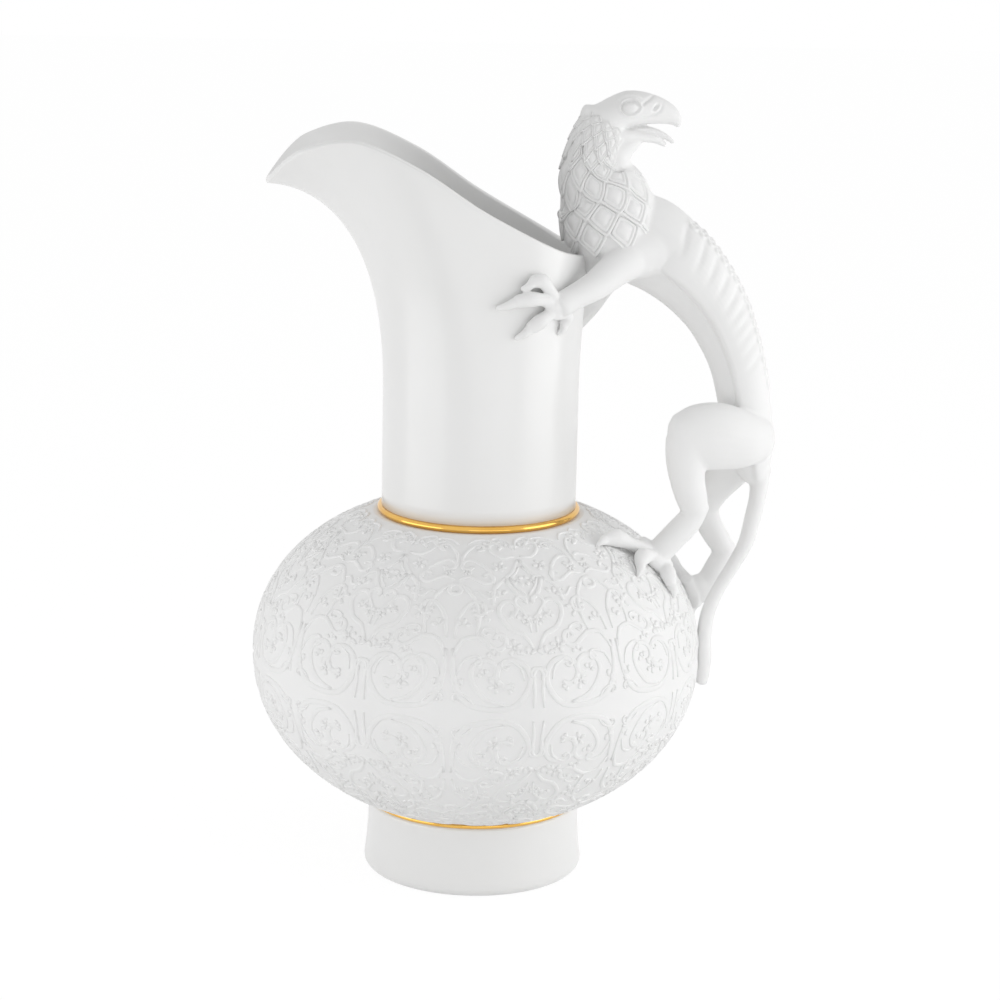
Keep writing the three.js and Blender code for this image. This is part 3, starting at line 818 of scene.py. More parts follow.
    def tendril(self, points: Sequence[Row], radius: float, sweep: float, girth: float = 1.0) -> None:
        """A stem that ends in a curl with a bud.

        Args:
            points: The stem's path in the cell.
            radius: Radius at which the curl starts, in millimetres.
            sweep: Turn of the curl in degrees, to the left where positive.
            girth: Share of the plain line.
        """
        middle = self.width(points[-1][1])
        end = np.array([points[-1][0] * middle, points[-1][1]])
        start = np.array([points[-2][0] * middle, points[-2][1]])
        ahead = (end - start) / np.linalg.norm(end - start)
        hand = math.copysign(1.0, sweep)
        out = -hand * np.array([-ahead[1], ahead[0]])
        centre = end - out * radius
        spiral = []
        count = max(5, int(abs(sweep) / self.curl_step))
        for turn in np.linspace(0, math.radians(sweep), count)[1:]:
            size = radius * (1 - self.curl_in * abs(turn) / math.radians(abs(sweep)))
            cos, sin = math.cos(turn), math.sin(turn)
            arm = np.array([[cos, -sin], [sin, cos]]) @ out
            spot = centre + arm * size
            spiral.append((spot[0] / middle, spot[1]))
        whole = [*points, *spiral]
        start_girth, *end_girth = self.tendril_girth
        size = np.concatenate([[start_girth], np.full(len(whole) - 3, 1.0), end_girth]) * girth
        size[-1] = max(size[-1], self.bud)
        self.stroke(whole, size, 2 if radius < self.small_curl else 3)

    def petals(self, place: Row, size: float, turns: Iterable[float], fat: float = 1.5) -> None:
        """Short fat strokes that spread from one point.

        Args:
            place: The point in the cell.
            size: Length of each petal in millimetres.
            turns: Direction of each petal in degrees.
            fat: Share of the plain line at the widest.
        """
        wide = self.width(place[1])
        for turn in np.radians(list(turns)):
            way = np.array([math.cos(turn) / wide, math.sin(turn)]) * size
            points = [tuple(np.asarray(place) + way * share) for share in self.petal_steps]
            self.stroke(points, (0.6, fat * 0.9, fat, fat * 0.6), 1)

    def flower(self, place: Row, size: float, count: int = 5, first: float = 90.0) -> None:
        """A flower of petals round a bead.

        Args:
            place: Its middle in the cell.
            size: Length of each petal in millimetres.
            count: Number of petals.
            first: Direction of the first petal in degrees.
        """
        self.petals(place, size, [first + 360 * k / count for k in range(count)])
        wide = self.width(place[1])
        heart = [(place[0] + dx / wide, place[1]) for dx in (-self.heart, 0.0, self.heart)]
        self.stroke(heart, self.heart_girth, 1)

    def draw(self) -> None:
        """Draws the cell."""
        for tendril in self.tendrils:
            self.tendril(*tendril)
        for flower in self.flowers:
            self.flower(*flower)
        for spray in self.sprays:
            self.petals(*spray)
        for girth, paths in ((self.strap_girth, self.straps), (self.thin_girth, self.thin_straps)):
            for path in paths:
                self.stroke(path, girth)

    def cell(self) -> Mesh:
        """Skins the strokes as closed strips.

        Returns:
            The strips, with the height above the wall as the third coordinate.
        """
        whole = bmesh.new()
        for places, girth in self.strokes:
            wide = np.array([self.width(rise) for rise in places[:, 1]])
            ahead = np.gradient(places * np.stack([wide, np.ones(len(wide))], 1), axis=0)
            ahead /= np.linalg.norm(ahead, axis=1, keepdims=True)
            strip = bmesh.new()
            loops = []
            for (x, y), (along, rise), scale, half in zip(places, ahead, wide, girth):
                bold = min(1.0, half / self.full_height)
                dip = self.crease * min(max((half - self.crease_from) / self.crease_span, 0.0), 1.0)
                ring = []
                for out, height in self.section:
                    level = height - dip if out == 0 else height
                    ring.append((x - rise * out * half / scale, y + along * out * half, level * bold))
                loops.append(loop(strip, ring))
            bridge(strip, loops)
            pour(strip, whole)
        return as_mesh("cell", whole)

    def spot(self, places: np.ndarray, side: int, hand: int, unit: int) -> np.ndarray:
        """Lays points of the cell on the wall.

        Args:
            places: Places in the cell with heights above the wall.
            side: Half of the bulb, 1 above the equator and -1 below.
            hand: Mirror half of the unit, 1 or -1.
            unit: Number of the unit round the bulb.

        Returns:
            Points in millimetres.
        """
        run, radii, heights = self.walls[side]
        rise = places[:, 1] * run[-1] / self.walls[1][0][-1]
        lean = side * np.interp(rise, run, np.gradient(heights, run))
        tip = -side * np.interp(rise, run, np.gradient(radii, run))
        radius = np.interp(rise, run, radii) + lean * places[:, 2]
        height = np.interp(rise, run, heights) + tip * places[:, 2]
        angle = (2 * unit + hand * places[:, 0]) * self.half - math.pi / 2 + self.turn
        return np.stack([np.cos(angle) * radius, np.sin(angle) * radius, height], 1)

    def build(self) -> list[Object]:
        """Turns the strokes into relief, above and below the equator, at the front and at the back.

        Returns:
            The four pieces.
        """
        self.draw()
        cell = self.cell()
        made = []
        for half, side in (("upper", 1), ("lower", -1)):
            for face, first in (("front", -self.units // 4), ("back", self.units // 4)):
                name = f"bulb_scrollwork_{half}_{face}"
                made.append(self.relief(name, cell, side, range(first, first + self.units // 2)))
        bpy.data.meshes.remove(cell)
        return made

    def relief(self, name: str, cell: Mesh, side: int, units: Iterable[int]) -> Object:
        """Lays the cell on one half of the bulb, again and again.

        Args:
            name: Name of the piece.
            cell: The skinned strokes.
            side: Half of the bulb, 1 above the equator and -1 below.
            units: Numbers of the units round the bulb.

        Returns:
            The relief.
        """
        flat = np.array([vert.co for vert in cell.vertices])
        bm = bmesh.new()
        for unit in units:
            for hand in (1, -1):
                laid = cell.copy()
                laid.vertices.foreach_set("co", self.spot(flat, side, hand, unit).ravel())
                bm.from_mesh(laid)
                bpy.data.meshes.remove(laid)
        return as_object(name, bm)


# Griffin


@dataclass
class Limb:
    """A form swept through oval stations, each x, y, z, half depth and half width in millimetres."""

    node: str
    stations: Sequence[Row]
    across: Row = (0.0, 1.0, 0.0)
    sides: int = 24
    steps: int = 6
    # Share of the half depth on the inner side, the power that squares that side, and the bulge of the ends
    inner: float = 1.0
    square: float = 1.0
    tip: float = 0.6
    # Angles of the rings that round off an end
    cap_turns: Row = (0.45, 0.9, 1.35)

    def __post_init__(self) -> None:
        """Works out the smooth path, its sizes and its frames."""
        rows = flow(self.stations, self.steps)
        self.path, self.deep, self.wide = rows[:, :3], rows[:, 3], rows[:, 4]
        ahead = np.gradient(self.path, axis=0)
        self.ahead = ahead / np.linalg.norm(ahead, axis=1, keepdims=True)
        across = np.asarray(self.across, float)
        side = across - self.ahead * (self.ahead @ across)[:, None]
        self.side = side / np.linalg.norm(side, axis=1, keepdims=True)
        self.up = np.cross(self.ahead, self.side)

    def surface(self, share: float, angle: float, lift: float = 0.0) -> np.ndarray:
        """A point on the limb.

        Args:
            share: Place along the limb, from 0 to 1.
            angle: Angle round it in degrees, from its outer side.
            lift: Height above the surface.

        Returns:
            The point in millimetres.
        """
        at = np.clip(share, 0, 1) * (len(self.path) - 1)
        low = min(int(at), len(self.path) - 2)
        mix = at - low
        turn = math.radians(angle)

        def between(values: np.ndarray) -> np.ndarray:
            """Reads an array between two samples."""
            return values[low] * (1 - mix) + values[low + 1] * mix

        depth = between(self.deep) * (1.0 if math.cos(turn) > 0 else self.inner)
        point = between(self.path) + between(self.up) * math.cos(turn) * (depth + lift)
        return point + between(self.side) * math.sin(turn) * (between(self.wide) + lift)

    def body(self) -> BMesh:
        """Sweeps the limb as one closed body with rounded ends.

        Returns:
            The body.
        """
        bm = bmesh.new()
        loops = []
        last = len(self.path) - 1
        turns = self.cap_turns
        rings = [(-math.sin(turn) * self.tip, math.cos(turn), 0) for turn in turns[::-1]]
        rings += [(0.0, 1.0, k) for k in range(last + 1)]
        rings += [(math.sin(turn) * self.tip, math.cos(turn), last) for turn in turns]
        for shift, size, k in rings:
            made, edges = circle(bm, self.sides)
            for vert in made:
                if vert.co.x < 0:
                    vert.co.x = -self.inner * abs(vert.co.x) ** self.square
                    vert.co.y = math.copysign(abs(vert.co.y) ** self.square, vert.co.y)
            centre = self.path[k] + self.ahead[k] * shift * self.deep[k]
            axes = (self.up[k] * self.deep[k] * size, self.side[k] * self.wide[k] * size, self.ahead[k])
            rows = [[*row, c] for row, c in zip(np.stack(axes, 1), centre)]
            bmesh.ops.transform(bm, matrix=Matrix([*rows, [0, 0, 0, 1]]), verts=made)
            loops.append(edges)
        bridge(bm, loops)
        bmesh.ops.recalc_face_normals(bm, faces=bm.faces)
        return bm


def bead(node: str, points: Sequence[Sequence[float]], girth: Sequence[float], across: Row) -> Limb:
    """A thin round ridge through points.

    Args:
        node: Casting that it belongs to.
        points: Its path in millimetres.
        girth: Its half thickness at each point.
        across: A direction that the path never follows.

    Returns:
        The ridge as a limb.
    """
    return Limb(node, [(*p, g, g) for p, g in zip(points, girth)], across, sides=10, steps=3)


@dataclass
class Torso:
    """The arched body: flanks that overhang a narrower belly, ribs, and a fringe of curls on the spine."""

    node: str = "griffin_torso"
    stations: tuple[Row, ...] = (
        (55.0, 0, 258.0, 16.5, 12.5),
        (63.0, 0, 254.8, 18.0, 14.0),
        (73.4, 0, 248.0, 16.6, 15.2),
        (82.9, 0, 239.3, 15.0, 15.0),
        (91.2, 0, 228.4, 13.2, 14.0),
        (95.9, 0, 219.2, 12.0, 13.0),
        (100.2, 0, 208.0, 10.9, 12.0),
        (103.8, 0, 192.4, 10.4, 11.5),
        (105.8, 0, 178.9, 10.2, 11.0),
        (107.8, 0, 168.9, 8.4, 9.0),
        (109.2, 0, 161.9, 5.6, 6.0),
    )
    belly_width: float = 0.74
    flank_turn: float = 0.38
    ledge_square: float = 0.42
    under_flank: float = 0.97
    withers: Row = (62.0, 0, 255.2, 14.5, 10.8)
    loin: Row = (105.6, 0, 178.9, 8.6, 8.8)
    # Creases between the ribs: first share and span along the back, and angles down the flank
    ribs: int = 10
    rib_span: Row = (0.1, 0.6)
    rib_crowding: float = 0.9
    rib_turns: Row = (26, 78)
    rib_slant: float = 0.0008
    rib_samples: int = 40
    rib_radius: float = 1.5
    rib_depth: float = 0.65
    # Curls along the spine: first share and span along the back
    curls: int = 19
    curl_span: Row = (0.06, 0.72)
    curl_lift: float = -0.1
    # One curl: share along the back, angle from the spine and half thickness
    curl: tuple[Row, ...] = (
        (-0.01, 1, 0.7),
        (0.004, 14, 0.8),
        (0.018, 26, 0.85),
        (0.034, 28, 0.85),
        (0.044, 20, 0.75),
        (0.038, 12, 0.7),
        (0.028, 16, 0.7),
    )

    def flank(self) -> Limb:
        """The broad back and flanks as far as the loin, cut off below by a ledge."""
        rows = [self.withers, *self.stations[2:8], self.loin]
        return Limb(self.node, rows, inner=self.flank_turn, square=self.ledge_square, sides=48)

    def forms(self) -> list[Limb]:
        """The body under the flanks, and the belly.

        Returns:
            Both limbs.
        """
        under = [(*row[:3], row[3] * self.under_flank, row[4] * self.under_flank) for row in self.stations]
        belly = [(*row[:4], row[4] * self.belly_width) for row in self.stations]
        return [Limb(self.node, under, inner=0.1), Limb(self.node, belly)]

    def details(self) -> list[Limb]:
        """The flanks with their ledge, and curls along the spine.

        Returns:
            The flanks first, then the curls of each side.
        """
        flank = self.flank()
        made = [flank]
        first, span = self.curl_span
        girth = [row[2] for row in self.curl]
        for hand in (-1, 1):
            for number in range(self.curls):
                share = first + span * number / (self.curls - 1)
                path = [flank.surface(share + ds, hand * turn, self.curl_lift) for ds, turn, _ in self.curl]
                made.append(bead(self.node, path, girth, (0.6, 0, 0.8)))
        return made

    def grooves(self) -> list[Groove]:
        """Soft creases between the ribs.

        Returns:
            The path of each crease, with its radius and depth.
        """
        flank = self.flank()
        made = []
        first, span = self.rib_span
        turns = np.linspace(*self.rib_turns, self.rib_samples)
        slant = self.rib_slant * (turns - self.rib_turns[0])
        for hand in (-1, 1):
            for rib in range(self.ribs):
                share = first + span * (rib / (self.ribs - 1)) ** self.rib_crowding
                path = [flank.surface(share + ds, hand * turn) for ds, turn in zip(slant, turns)]
                made.append((np.array(path), self.rib_radius, self.rib_depth))
        return made


@dataclass
class Plumage:
    """The feathered neck and breast: a smooth core under rows of lozenge feathers."""

    node: str = "griffin_feathered_neck"
    stations: tuple[Row, ...] = (
        (52.4, 0, 247.4, 16.4, 15.2),
        (50.8, 0, 256.7, 18.8, 17.6),
        (48.4, 0, 265.3, 19.4, 18.2),
        (46.3, 0, 272.9, 17.9, 17.0),
        (42.6, 0, 280.3, 14.1, 14.4),
        (42.2, 0, 287.3, 11.4, 11.8),
        (44.4, 0, 294.3, 11.0, 10.4),
        (47.2, 0, 300.3, 10.2, 9.6),
        (50.4, 0, 305.0, 7.6, 8.2),
    )
    skin: float = 0.9
    around: int = 9
    rows: int = 10
    fine_rows: int = 4
    fine_around: int = 13
    # Rows along the neck: first share, span, and how much they crowd towards the head
    first_level: float = 0.07
    level_span: float = 0.82
    crowding: float = 1.5
    # A feather's length past its row, its overlap round the neck and the fullness of its outline
    stretch: float = 1.15
    fine_stretch: float = 1.7
    overlap: float = 1.02
    fullness: float = 1.1
    # Its relief, which is less on a short feather, the lift of its tip, and how deep it is seated
    relief: float = 1.25
    least_relief: float = 0.3
    full_length: float = 0.1
    tip_lift: float = 1.1
    root_sink: float = 0.6
    seat: float = 0.3
    # How much deeper the feathers lie under the beak
    flat_back: float = 1.7
    # Corners of a feather's outline, and its nested outlines: share of its size and height
    sides: int = 20
    steps: tuple[Row, ...] = (
        (1.0, -1.8),
        (1.0, 0.1),
        (0.97, 0.45),
        (0.87, 0.48),
        (0.82, 0.14),
        (0.77, 0.14),
        (0.72, 0.42),
        (0.6, 0.45),
        (0.55, 0.16),
        (0.5, 0.16),
        (0.45, 0.4),
        (0.1, 0.48),
    )

    def core(self) -> Limb:
        """The smooth neck under the feathers."""
        slim = [(x, y, z, deep - self.skin, wide - self.skin) for x, y, z, deep, wide in self.stations]
        return Limb(self.node, slim, sides=32)

    def feather(self) -> Mesh:
        """One flat feather with a double outline.

        Returns:
            The feather, two units wide and long.
        """
        bm = bmesh.new()
        loops = []
        power = self.fullness
        for size, height in self.steps:
            made, edges = circle(bm, self.sides)
            for vert in made:
                reach = (abs(vert.co.x) ** power + abs(vert.co.y) ** power) ** (1 / power)
                vert.co = vert.co * (size / reach) + Vector((0, 0, height))
            loops.append(edges)
        bridge(bm, loops)
        bmesh.ops.recalc_face_normals(bm, faces=bm.faces)
        return as_mesh("feather", bm)

    def feathers(self) -> BMesh:
        """Lays the feathers in staggered rows that shrink towards the head.

        Returns:
            All the feathers.
        """
        core = self.core()
        pattern = self.feather()
        bm = bmesh.new()
        ease = np.linspace(0, 1, self.rows + 2)
        levels = self.first_level + self.level_span * (1 - (1 - ease) ** self.crowding)
        for row in range(1, self.rows + 1):
            slender = row > self.rows - self.fine_rows
            count = self.fine_around if slender else self.around
            half_turn = 180 / count
            stretch = self.fine_stretch if slender else self.stretch
            long = (levels[row + 1] - levels[row - 1]) / 2
            bold = min(1.0, self.least_relief + (1 - self.least_relief) * long / self.full_length)
            for k in range(count):
                first = len(bm.verts)
                bm.from_mesh(pattern)
                bm.verts.ensure_lookup_table()
                middle = (2 * k + row % 2) * half_turn
                sink = self.flat_back * max(0.0, -math.cos(math.radians(middle))) ** 2
                for vert in bm.verts[first:]:
                    u, v, height = vert.co
                    drop = v * long * (stretch if v < 0 else 1.0)
                    slope = self.tip_lift if v < 0 else self.root_sink
                    lift = self.skin + (height * self.relief - slope * v) * bold - self.seat - sink
                    angle = middle + u * half_turn * self.overlap
                    vert.co = core.surface(levels[row] + drop, angle, lift)
        bpy.data.meshes.remove(pattern)
        return bm


@dataclass
class Head:
    """The eagle's head: skull and upper beak, lower beak, tongue, brows, eyes and the lines of the face."""

    node: str = "griffin_head"
    skull: tuple[Row, ...] = (
        (37.4, 0, 304.5, 3.1, 3.6),
        (42.4, 0, 303.0, 4.5, 6.8),
        (48.4, 0, 303.8, 6.3, 9.0),
        (55.4, 0, 305.9, 7.0, 9.0),
        (61.4, 0, 306.1, 6.2, 7.6),
        (66.4, 0, 305.3, 5.2, 5.6),
        (70.4, 0, 303.9, 4.1, 4.0),
        (73.2, 0, 301.8, 2.7, 2.6),
        (74.6, 0, 299.4, 1.1, 1.2),
    )
    lower_beak: tuple[Row, ...] = (
        (46.4, 0, 295.9, 2.6, 8.4),
        (52.4, 0, 296.3, 3.2, 7.6),
        (59.4, 0, 295.6, 2.4, 5.4),
        (65.4, 0, 294.4, 1.7, 3.4),
        (69.4, 0, 292.2, 0.9, 1.5),
    )
    tongue: tuple[Row, ...] = (
        (56.4, 0, 298.8, 0.9, 3.0),
        (63.4, 0, 298.0, 1.1, 2.8),
        (68.9, 0, 295.8, 1.1, 2.2),
        (72.4, 0, 293.3, 0.8, 1.2),
    )
    throat: tuple[Row, ...] = (
        (60.5, 0, 295.6, 1.8, 4.4),
        (55.6, 0, 292.8, 4.0, 6.0),
        (50.8, 0, 288.6, 6.0, 7.6),
        (50.6, 0, 281.6, 6.2, 9.0),
        (54.4, 0, 275.0, 5.2, 10.5),
        (59.5, 0, 268.4, 7.5, 10.5),
    )
    eye: Row = (54.8, 307.3)
    eye_size: Row = (2.8, 1.7, 2.1)
    eye_turns: Row = (-1.3, -0.8, 0.0, 0.8, 1.3)
    eye_stand: float = 1.0
    # Half width and half height of the rings round the eye, and the reach and sharpness of their corner
    lid: Row = (3.9, 3.0)
    socket: Row = (3.2, 2.45)
    ring_step: int = 18
    corner: float = 0.14
    corner_power: int = 6
    lid_girth: float = 0.7
    lid_lift: float = -0.2
    brow_lift: float = -0.75
    # Brow: place along the head, height and half thickness
    brow: tuple[Row, ...] = (
        (48.6, 308.4, 0.7),
        (51.0, 310.4, 1.3),
        (54.6, 311.6, 1.5),
        (58.0, 311.0, 1.3),
        (60.4, 309.4, 0.6),
    )
    nostril: tuple[Row, ...] = ((63.9, 306.2), (64.9, 307.2), (65.7, 308.2))
    cere: tuple[Row, ...] = ((64.2, 311.4), (62.4, 310.4), (60.4, 309.0), (59.4, 307.8))
    cheek: tuple[Row, ...] = ((67.6, 308.6), (66.6, 306.0), (63.2, 303.9), (57.6, 302.6), (50.0, 302.0))
    mouth: tuple[Row, ...] = ((62.0, 300.2), (58.0, 299.6), (53.0, 299.0), (48.0, 299.2))
    line_steps: int = 16
    # Half breadth of the space that holds the head
    outside: float = 40.0

    def __post_init__(self) -> None:
        """Keeps the face's surface, so that its lines can be laid on it."""
        body = self.upper().body()
        self.face = BVHTree.FromBMesh(body)
        body.free()

    def upper(self) -> Limb:
        """The skull with the upper beak."""
        return Limb(self.node, self.skull, sides=32, tip=0.3)

    def forms(self) -> list[Limb]:
        """The skull with the upper beak, and the throat under the jaw.

        Returns:
            Both limbs.
        """
        return [self.upper(), Limb("griffin_feathered_neck", self.throat, tip=0.3)]

    def on_face(self, x: float, z: float, hand: int, lift: float = 0.0) -> Row:
        """A point on one side of the face.

        Args:
            x: Place along the head.
            z: Height.
            hand: Side of the head, -1 or 1.
            lift: Height above the surface.

        Returns:
            The point in millimetres.
        """
        hit, normal, _, _ = self.face.ray_cast((x, hand * self.outside, z), (0, -hand, 0))
        return tuple(hit + normal * lift) if hit else (x, 0.0, z)

    def ridge(self, points: Sequence[Row], girth: Sequence[float], hand: int, lift: float) -> Limb:
        """A ridge on one side of the face.

        Args:
            points: Its path as places along the head and heights.
            girth: Its half thickness at each point.
            hand: Side of the head, -1 or 1.
            lift: Height of its middle above the surface.

        Returns:
            The ridge.
        """
        return bead(self.node, [self.on_face(x, z, hand, lift) for x, z in points], girth, (0, 1, 0))

    def ring(self, width: float, height: float) -> list[Row]:
        """Places round the eye, with a pointed front corner.

        Args:
            width: Half width of the ring.
            height: Half height of the ring.

        Returns:
            Places along the head and heights, the first one again at the end.
        """
        made = []
        for angle in np.radians(np.arange(0, 361, self.ring_step)):
            long = width * (1 + self.corner * max(0.0, math.cos(angle)) ** self.corner_power)
            made.append((self.eye[0] + long * math.cos(angle), self.eye[1] + height * math.sin(angle)))
        return made

    def details(self) -> list[Limb]:
        """The crisp forms of the head.

        Returns:
            The lower beak and the tongue, then the brow, lid and eyeball of each side.
        """
        made = [
            Limb("griffin_lower_beak", self.lower_beak, tip=0.4),
            Limb("griffin_tongue", self.tongue, sides=14, tip=0.5),
        ]
        long, proud, tall = self.eye_size
        brow = [row[:2] for row in self.brow]
        lid = self.ring(*self.lid)
        for hand in (-1, 1):
            made.append(self.ridge(brow, [row[2] for row in self.brow], hand, self.brow_lift))
            made.append(self.ridge(lid, [self.lid_girth] * len(lid), hand, self.lid_lift))
            x, y, z = self.on_face(*self.eye, hand, self.eye_stand - proud)
            ball = []
            for turn in self.eye_turns:
                size = math.cos(turn)
                ball.append((x + long * math.sin(turn), y, z, tall * size, proud * size))
            made.append(Limb(self.node, ball, sides=20, tip=0.1))
        return made

    def grooves(self) -> list[Groove]:
        """Lines pressed into the face.

        Returns:
            The path of each line, with its radius and depth.
        """
        cuts = (
            (self.nostril, 0.65, 1.6),
            (self.cere, 0.6, 0.8),
            (self.cheek, 0.6, 0.75),
            (self.mouth, 0.65, 1.5),
            (self.ring(*self.socket), 0.5, 1.0),
        )
        made = []
        for hand in (-1, 1):
            for places, radius, depth in cuts:
                path = [self.on_face(x, z, hand) for x, z in places]
                made.append((flow(path, self.line_steps), radius, depth))
        return made


@dataclass
class Wall:
    """A round wall that a claw can grip: the neck's where it is straight, or the bulb's."""

    bulb: Bulb | None = None
    radius: float = 38.4

    def point(self, angle: float, level: float, stand: float) -> np.ndarray:
        """A point off the wall.

        Args:
            angle: Angle about the jug's axis in degrees.
            level: Height in millimetres.
            stand: Distance off the wall.

        Returns:
            The point in millimetres.
        """
        turn = math.radians(angle)
        radius, slope = self.radius, 0.0
        if self.bulb:
            radius = self.bulb.radius_at(level)
            slope = self.bulb.radius_at(level + 0.5) - self.bulb.radius_at(level - 0.5)
        lean = 1 / math.hypot(1, slope)
        reach = radius + stand * lean
        return np.array([math.cos(turn) * reach, math.sin(turn) * reach, level - stand * slope * lean])


@dataclass
class Claw:
    """A clawed foot on a round wall: a flat palm, toes with round knuckles, and pointed nails.

    A toe is rows of turn in degrees, rise, stand-off and half thickness from the palm, the nail's tip last.
    """

    node: str
    wall: Wall
    angle: float
    level: float
    palm: float
    toes: Sequence[Sequence[Row]]
    # Turn of a nail's tip in degrees past which its toe lies across the wall
    sideways: float = 10.0
    # Shares of the palm: its half length, its stand-off and thickness, and its girth along it
    pad_reach: float = 0.6
    pad_stand: float = 0.4
    pad_depth: float = 0.6
    pad_girth: Row = (0.7, 0.95, 0.7)
    # A nail: place and height of its bend, and its girth at the root and across the bend
    nail_share: float = 0.45
    nail_bend: float = 0.9
    nail_girth: Row = (0.85, 0.72, 0.66)

    def tangent(self) -> Row:
        """Direction round the wall at the palm."""
        turn = math.radians(self.angle)
        return (-math.sin(turn), math.cos(turn), 0.0)

    def middle(self) -> np.ndarray:
        """Centre of the palm."""
        return self.wall.point(self.angle, self.level, self.palm * 0.5)

    def details(self) -> list[Limb]:
        """Palm, toes and nails.

        Returns:
            The palm first, then each toe with its nail.
        """
        rows = []
        for step, size in zip((-1, 0, 1), self.pad_girth):
            rise = step * self.pad_reach * self.palm
            spot = self.wall.point(self.angle, self.level + rise, self.palm * self.pad_stand)
            rows.append((*spot, self.palm * self.pad_depth * size, self.palm * size))
        made = [Limb(self.node, rows, self.tangent(), sides=20)]
        stout, deep, wide = self.nail_girth
        out = self.wall.point(self.angle, self.level, 1.0) - self.wall.point(self.angle, self.level, 0.0)
        for toe in self.toes:
            across = (0.2, 0.1, 1.0) if abs(toe[-1][0]) > self.sideways else self.tangent()
            spots = []
            for turn, rise, stand, _ in toe:
                spots.append(self.wall.point(self.angle + turn, self.level + rise, stand))
            sizes = [row[3] for row in toe]
            finger = [(*spot, size, size) for spot, size in zip(spots[:-1], sizes)]
            made.append(Limb(self.node, finger, across, sides=16, steps=5, tip=0.7))
            root, tip, thick = spots[-2], spots[-1], sizes[-2]
            bend = root * self.nail_share + tip * (1 - self.nail_share) + out * self.nail_bend
            nail = [(*root, thick * stout, thick * stout), (*bend, thick * deep, thick * wide)]
            nail.append((*tip, sizes[-1], sizes[-1]))
            made.append(Limb(self.node, nail, across, sides=12, steps=5))
        return made


TALON_TOES = (
    (
        (-2, 2.0, 2.4, 2.8),
        (-7, 7.2, 2.6, 2.4),
        (-11.5, 10.3, 2.6, 2.9),
        (-15.6, 10.2, 1.7, 2.5),
        (-21.6, 7.3, 0.3, 1.0),
    ),
    (
        (-3, 0.6, 2.4, 2.9),
        (-10, 2.9, 2.6, 2.4),
        (-17.6, 3.6, 2.6, 3.0),
        (-25, 2.9, 1.7, 2.5),
        (-35.9, 0.2, 0.3, 1.0),
    ),
    (
        (-3, -1.4, 2.4, 2.9),
        (-7, -3.2, 2.6, 2.4),
        (-11.6, -5.1, 2.6, 3.0),
        (-16.6, -7.5, 1.7, 2.5),
        (-24.7, -11.6, 0.3, 1.0),
    ),
)
NEAR_THUMB = (
    (1, -2.0, 2.4, 2.6),
    (5.0, -3.2, 2.6, 2.3),
    (7.6, -5.0, 2.6, 2.6),
    (7.4, -7.4, 1.7, 2.2),
    (4.9, -11.4, 0.3, 1.0),
)
FAR_THUMB = (
    (-2, -0.4, 2.4, 2.6),
    (-10, -0.6, 2.6, 2.4),
    (-15, -1.4, 2.8, 2.7),
    (-15.4, -4.4, 1.8, 2.3),
    (-14, -9.4, 0.3, 1.0),
)
PAW_TOES = (
    (
        (-2, 2.0, 3.2, 3.6),
        (-7.5, 5.8, 3.4, 2.6),
        (-12.2, 8.4, 3.7, 3.6),
        (-16.0, 9.3, 2.5, 2.4),
        (-21.6, 9.4, 0.5, 0.5),
    ),
    (
        (-2, 0.4, 3.2, 3.6),
        (-6.0, 1.4, 3.4, 2.6),
        (-9.6, 1.7, 3.7, 3.4),
        (-12.4, 0.8, 2.4, 2.3),
        (-16.8, -1.8, 0.5, 0.5),
    ),
    (
        (-1, -1.4, 3.2, 3.4),
        (-2.2, -3.4, 3.4, 2.6),
        (-3.2, -5.4, 3.6, 3.3),
        (-3.8, -8.0, 2.4, 2.3),
        (-4.6, -12.6, 0.5, 0.5),
    ),
)


def mirrored(toes: Sequence[Sequence[Row]]) -> list[list[Row]]:
    """Toes of the other side."""
    return [[(-row[0], *row[1:]) for row in toe] for toe in toes]


@dataclass
class Leg:
    """A leg as a chain of limbs, the last of which runs on to the palm of a claw."""

    node: str
    chains: Sequence[Sequence[Row]]
    claw: Claw
    ankle: float
    ankle_steps: Row = (0.55, 0.95)

    def forms(self) -> list[Limb]:
        """The limbs, with the ankle down to the palm.

        Returns:
            One limb for each chain.
        """
        *upper, lower = self.chains
        last = np.asarray(lower[-1][:3], float)
        palm = self.claw.middle()
        ankle = [(*(last + (palm - last) * share), self.ankle, self.ankle) for share in self.ankle_steps]
        return [Limb(self.node, chain) for chain in (*upper, (*lower, *ankle))]


@dataclass
class Tail:
    """The tail: from the rump down to a tuft that lies on the bulb."""

    node: str = "griffin_tail"
    stations: tuple[Row, ...] = (
        (111.4, 0, 164.9, 4.6, 4.6),
        (111.0, 0, 153.9, 3.5, 3.8),
        (109.2, 0, 143.9, 3.4, 3.6),
        (106.8, 0, 133.9, 3.1, 3.4),
        (102.3, 0, 125.1, 2.8, 3.2),
        (96.7, 0, 115.1, 2.7, 3.2),
        (92.8, 0, 105.1, 2.9, 3.4),
        (91.6, 0, 95.1, 3.0, 3.8),
        (91.8, 0, 86.1, 3.1, 4.2),
        (91.2, 0, 76.1, 2.6, 3.8),
    )

    def forms(self) -> list[Limb]:
        """The tail's one limb."""
        return [Limb(self.node, self.stations, tip=0.3)]


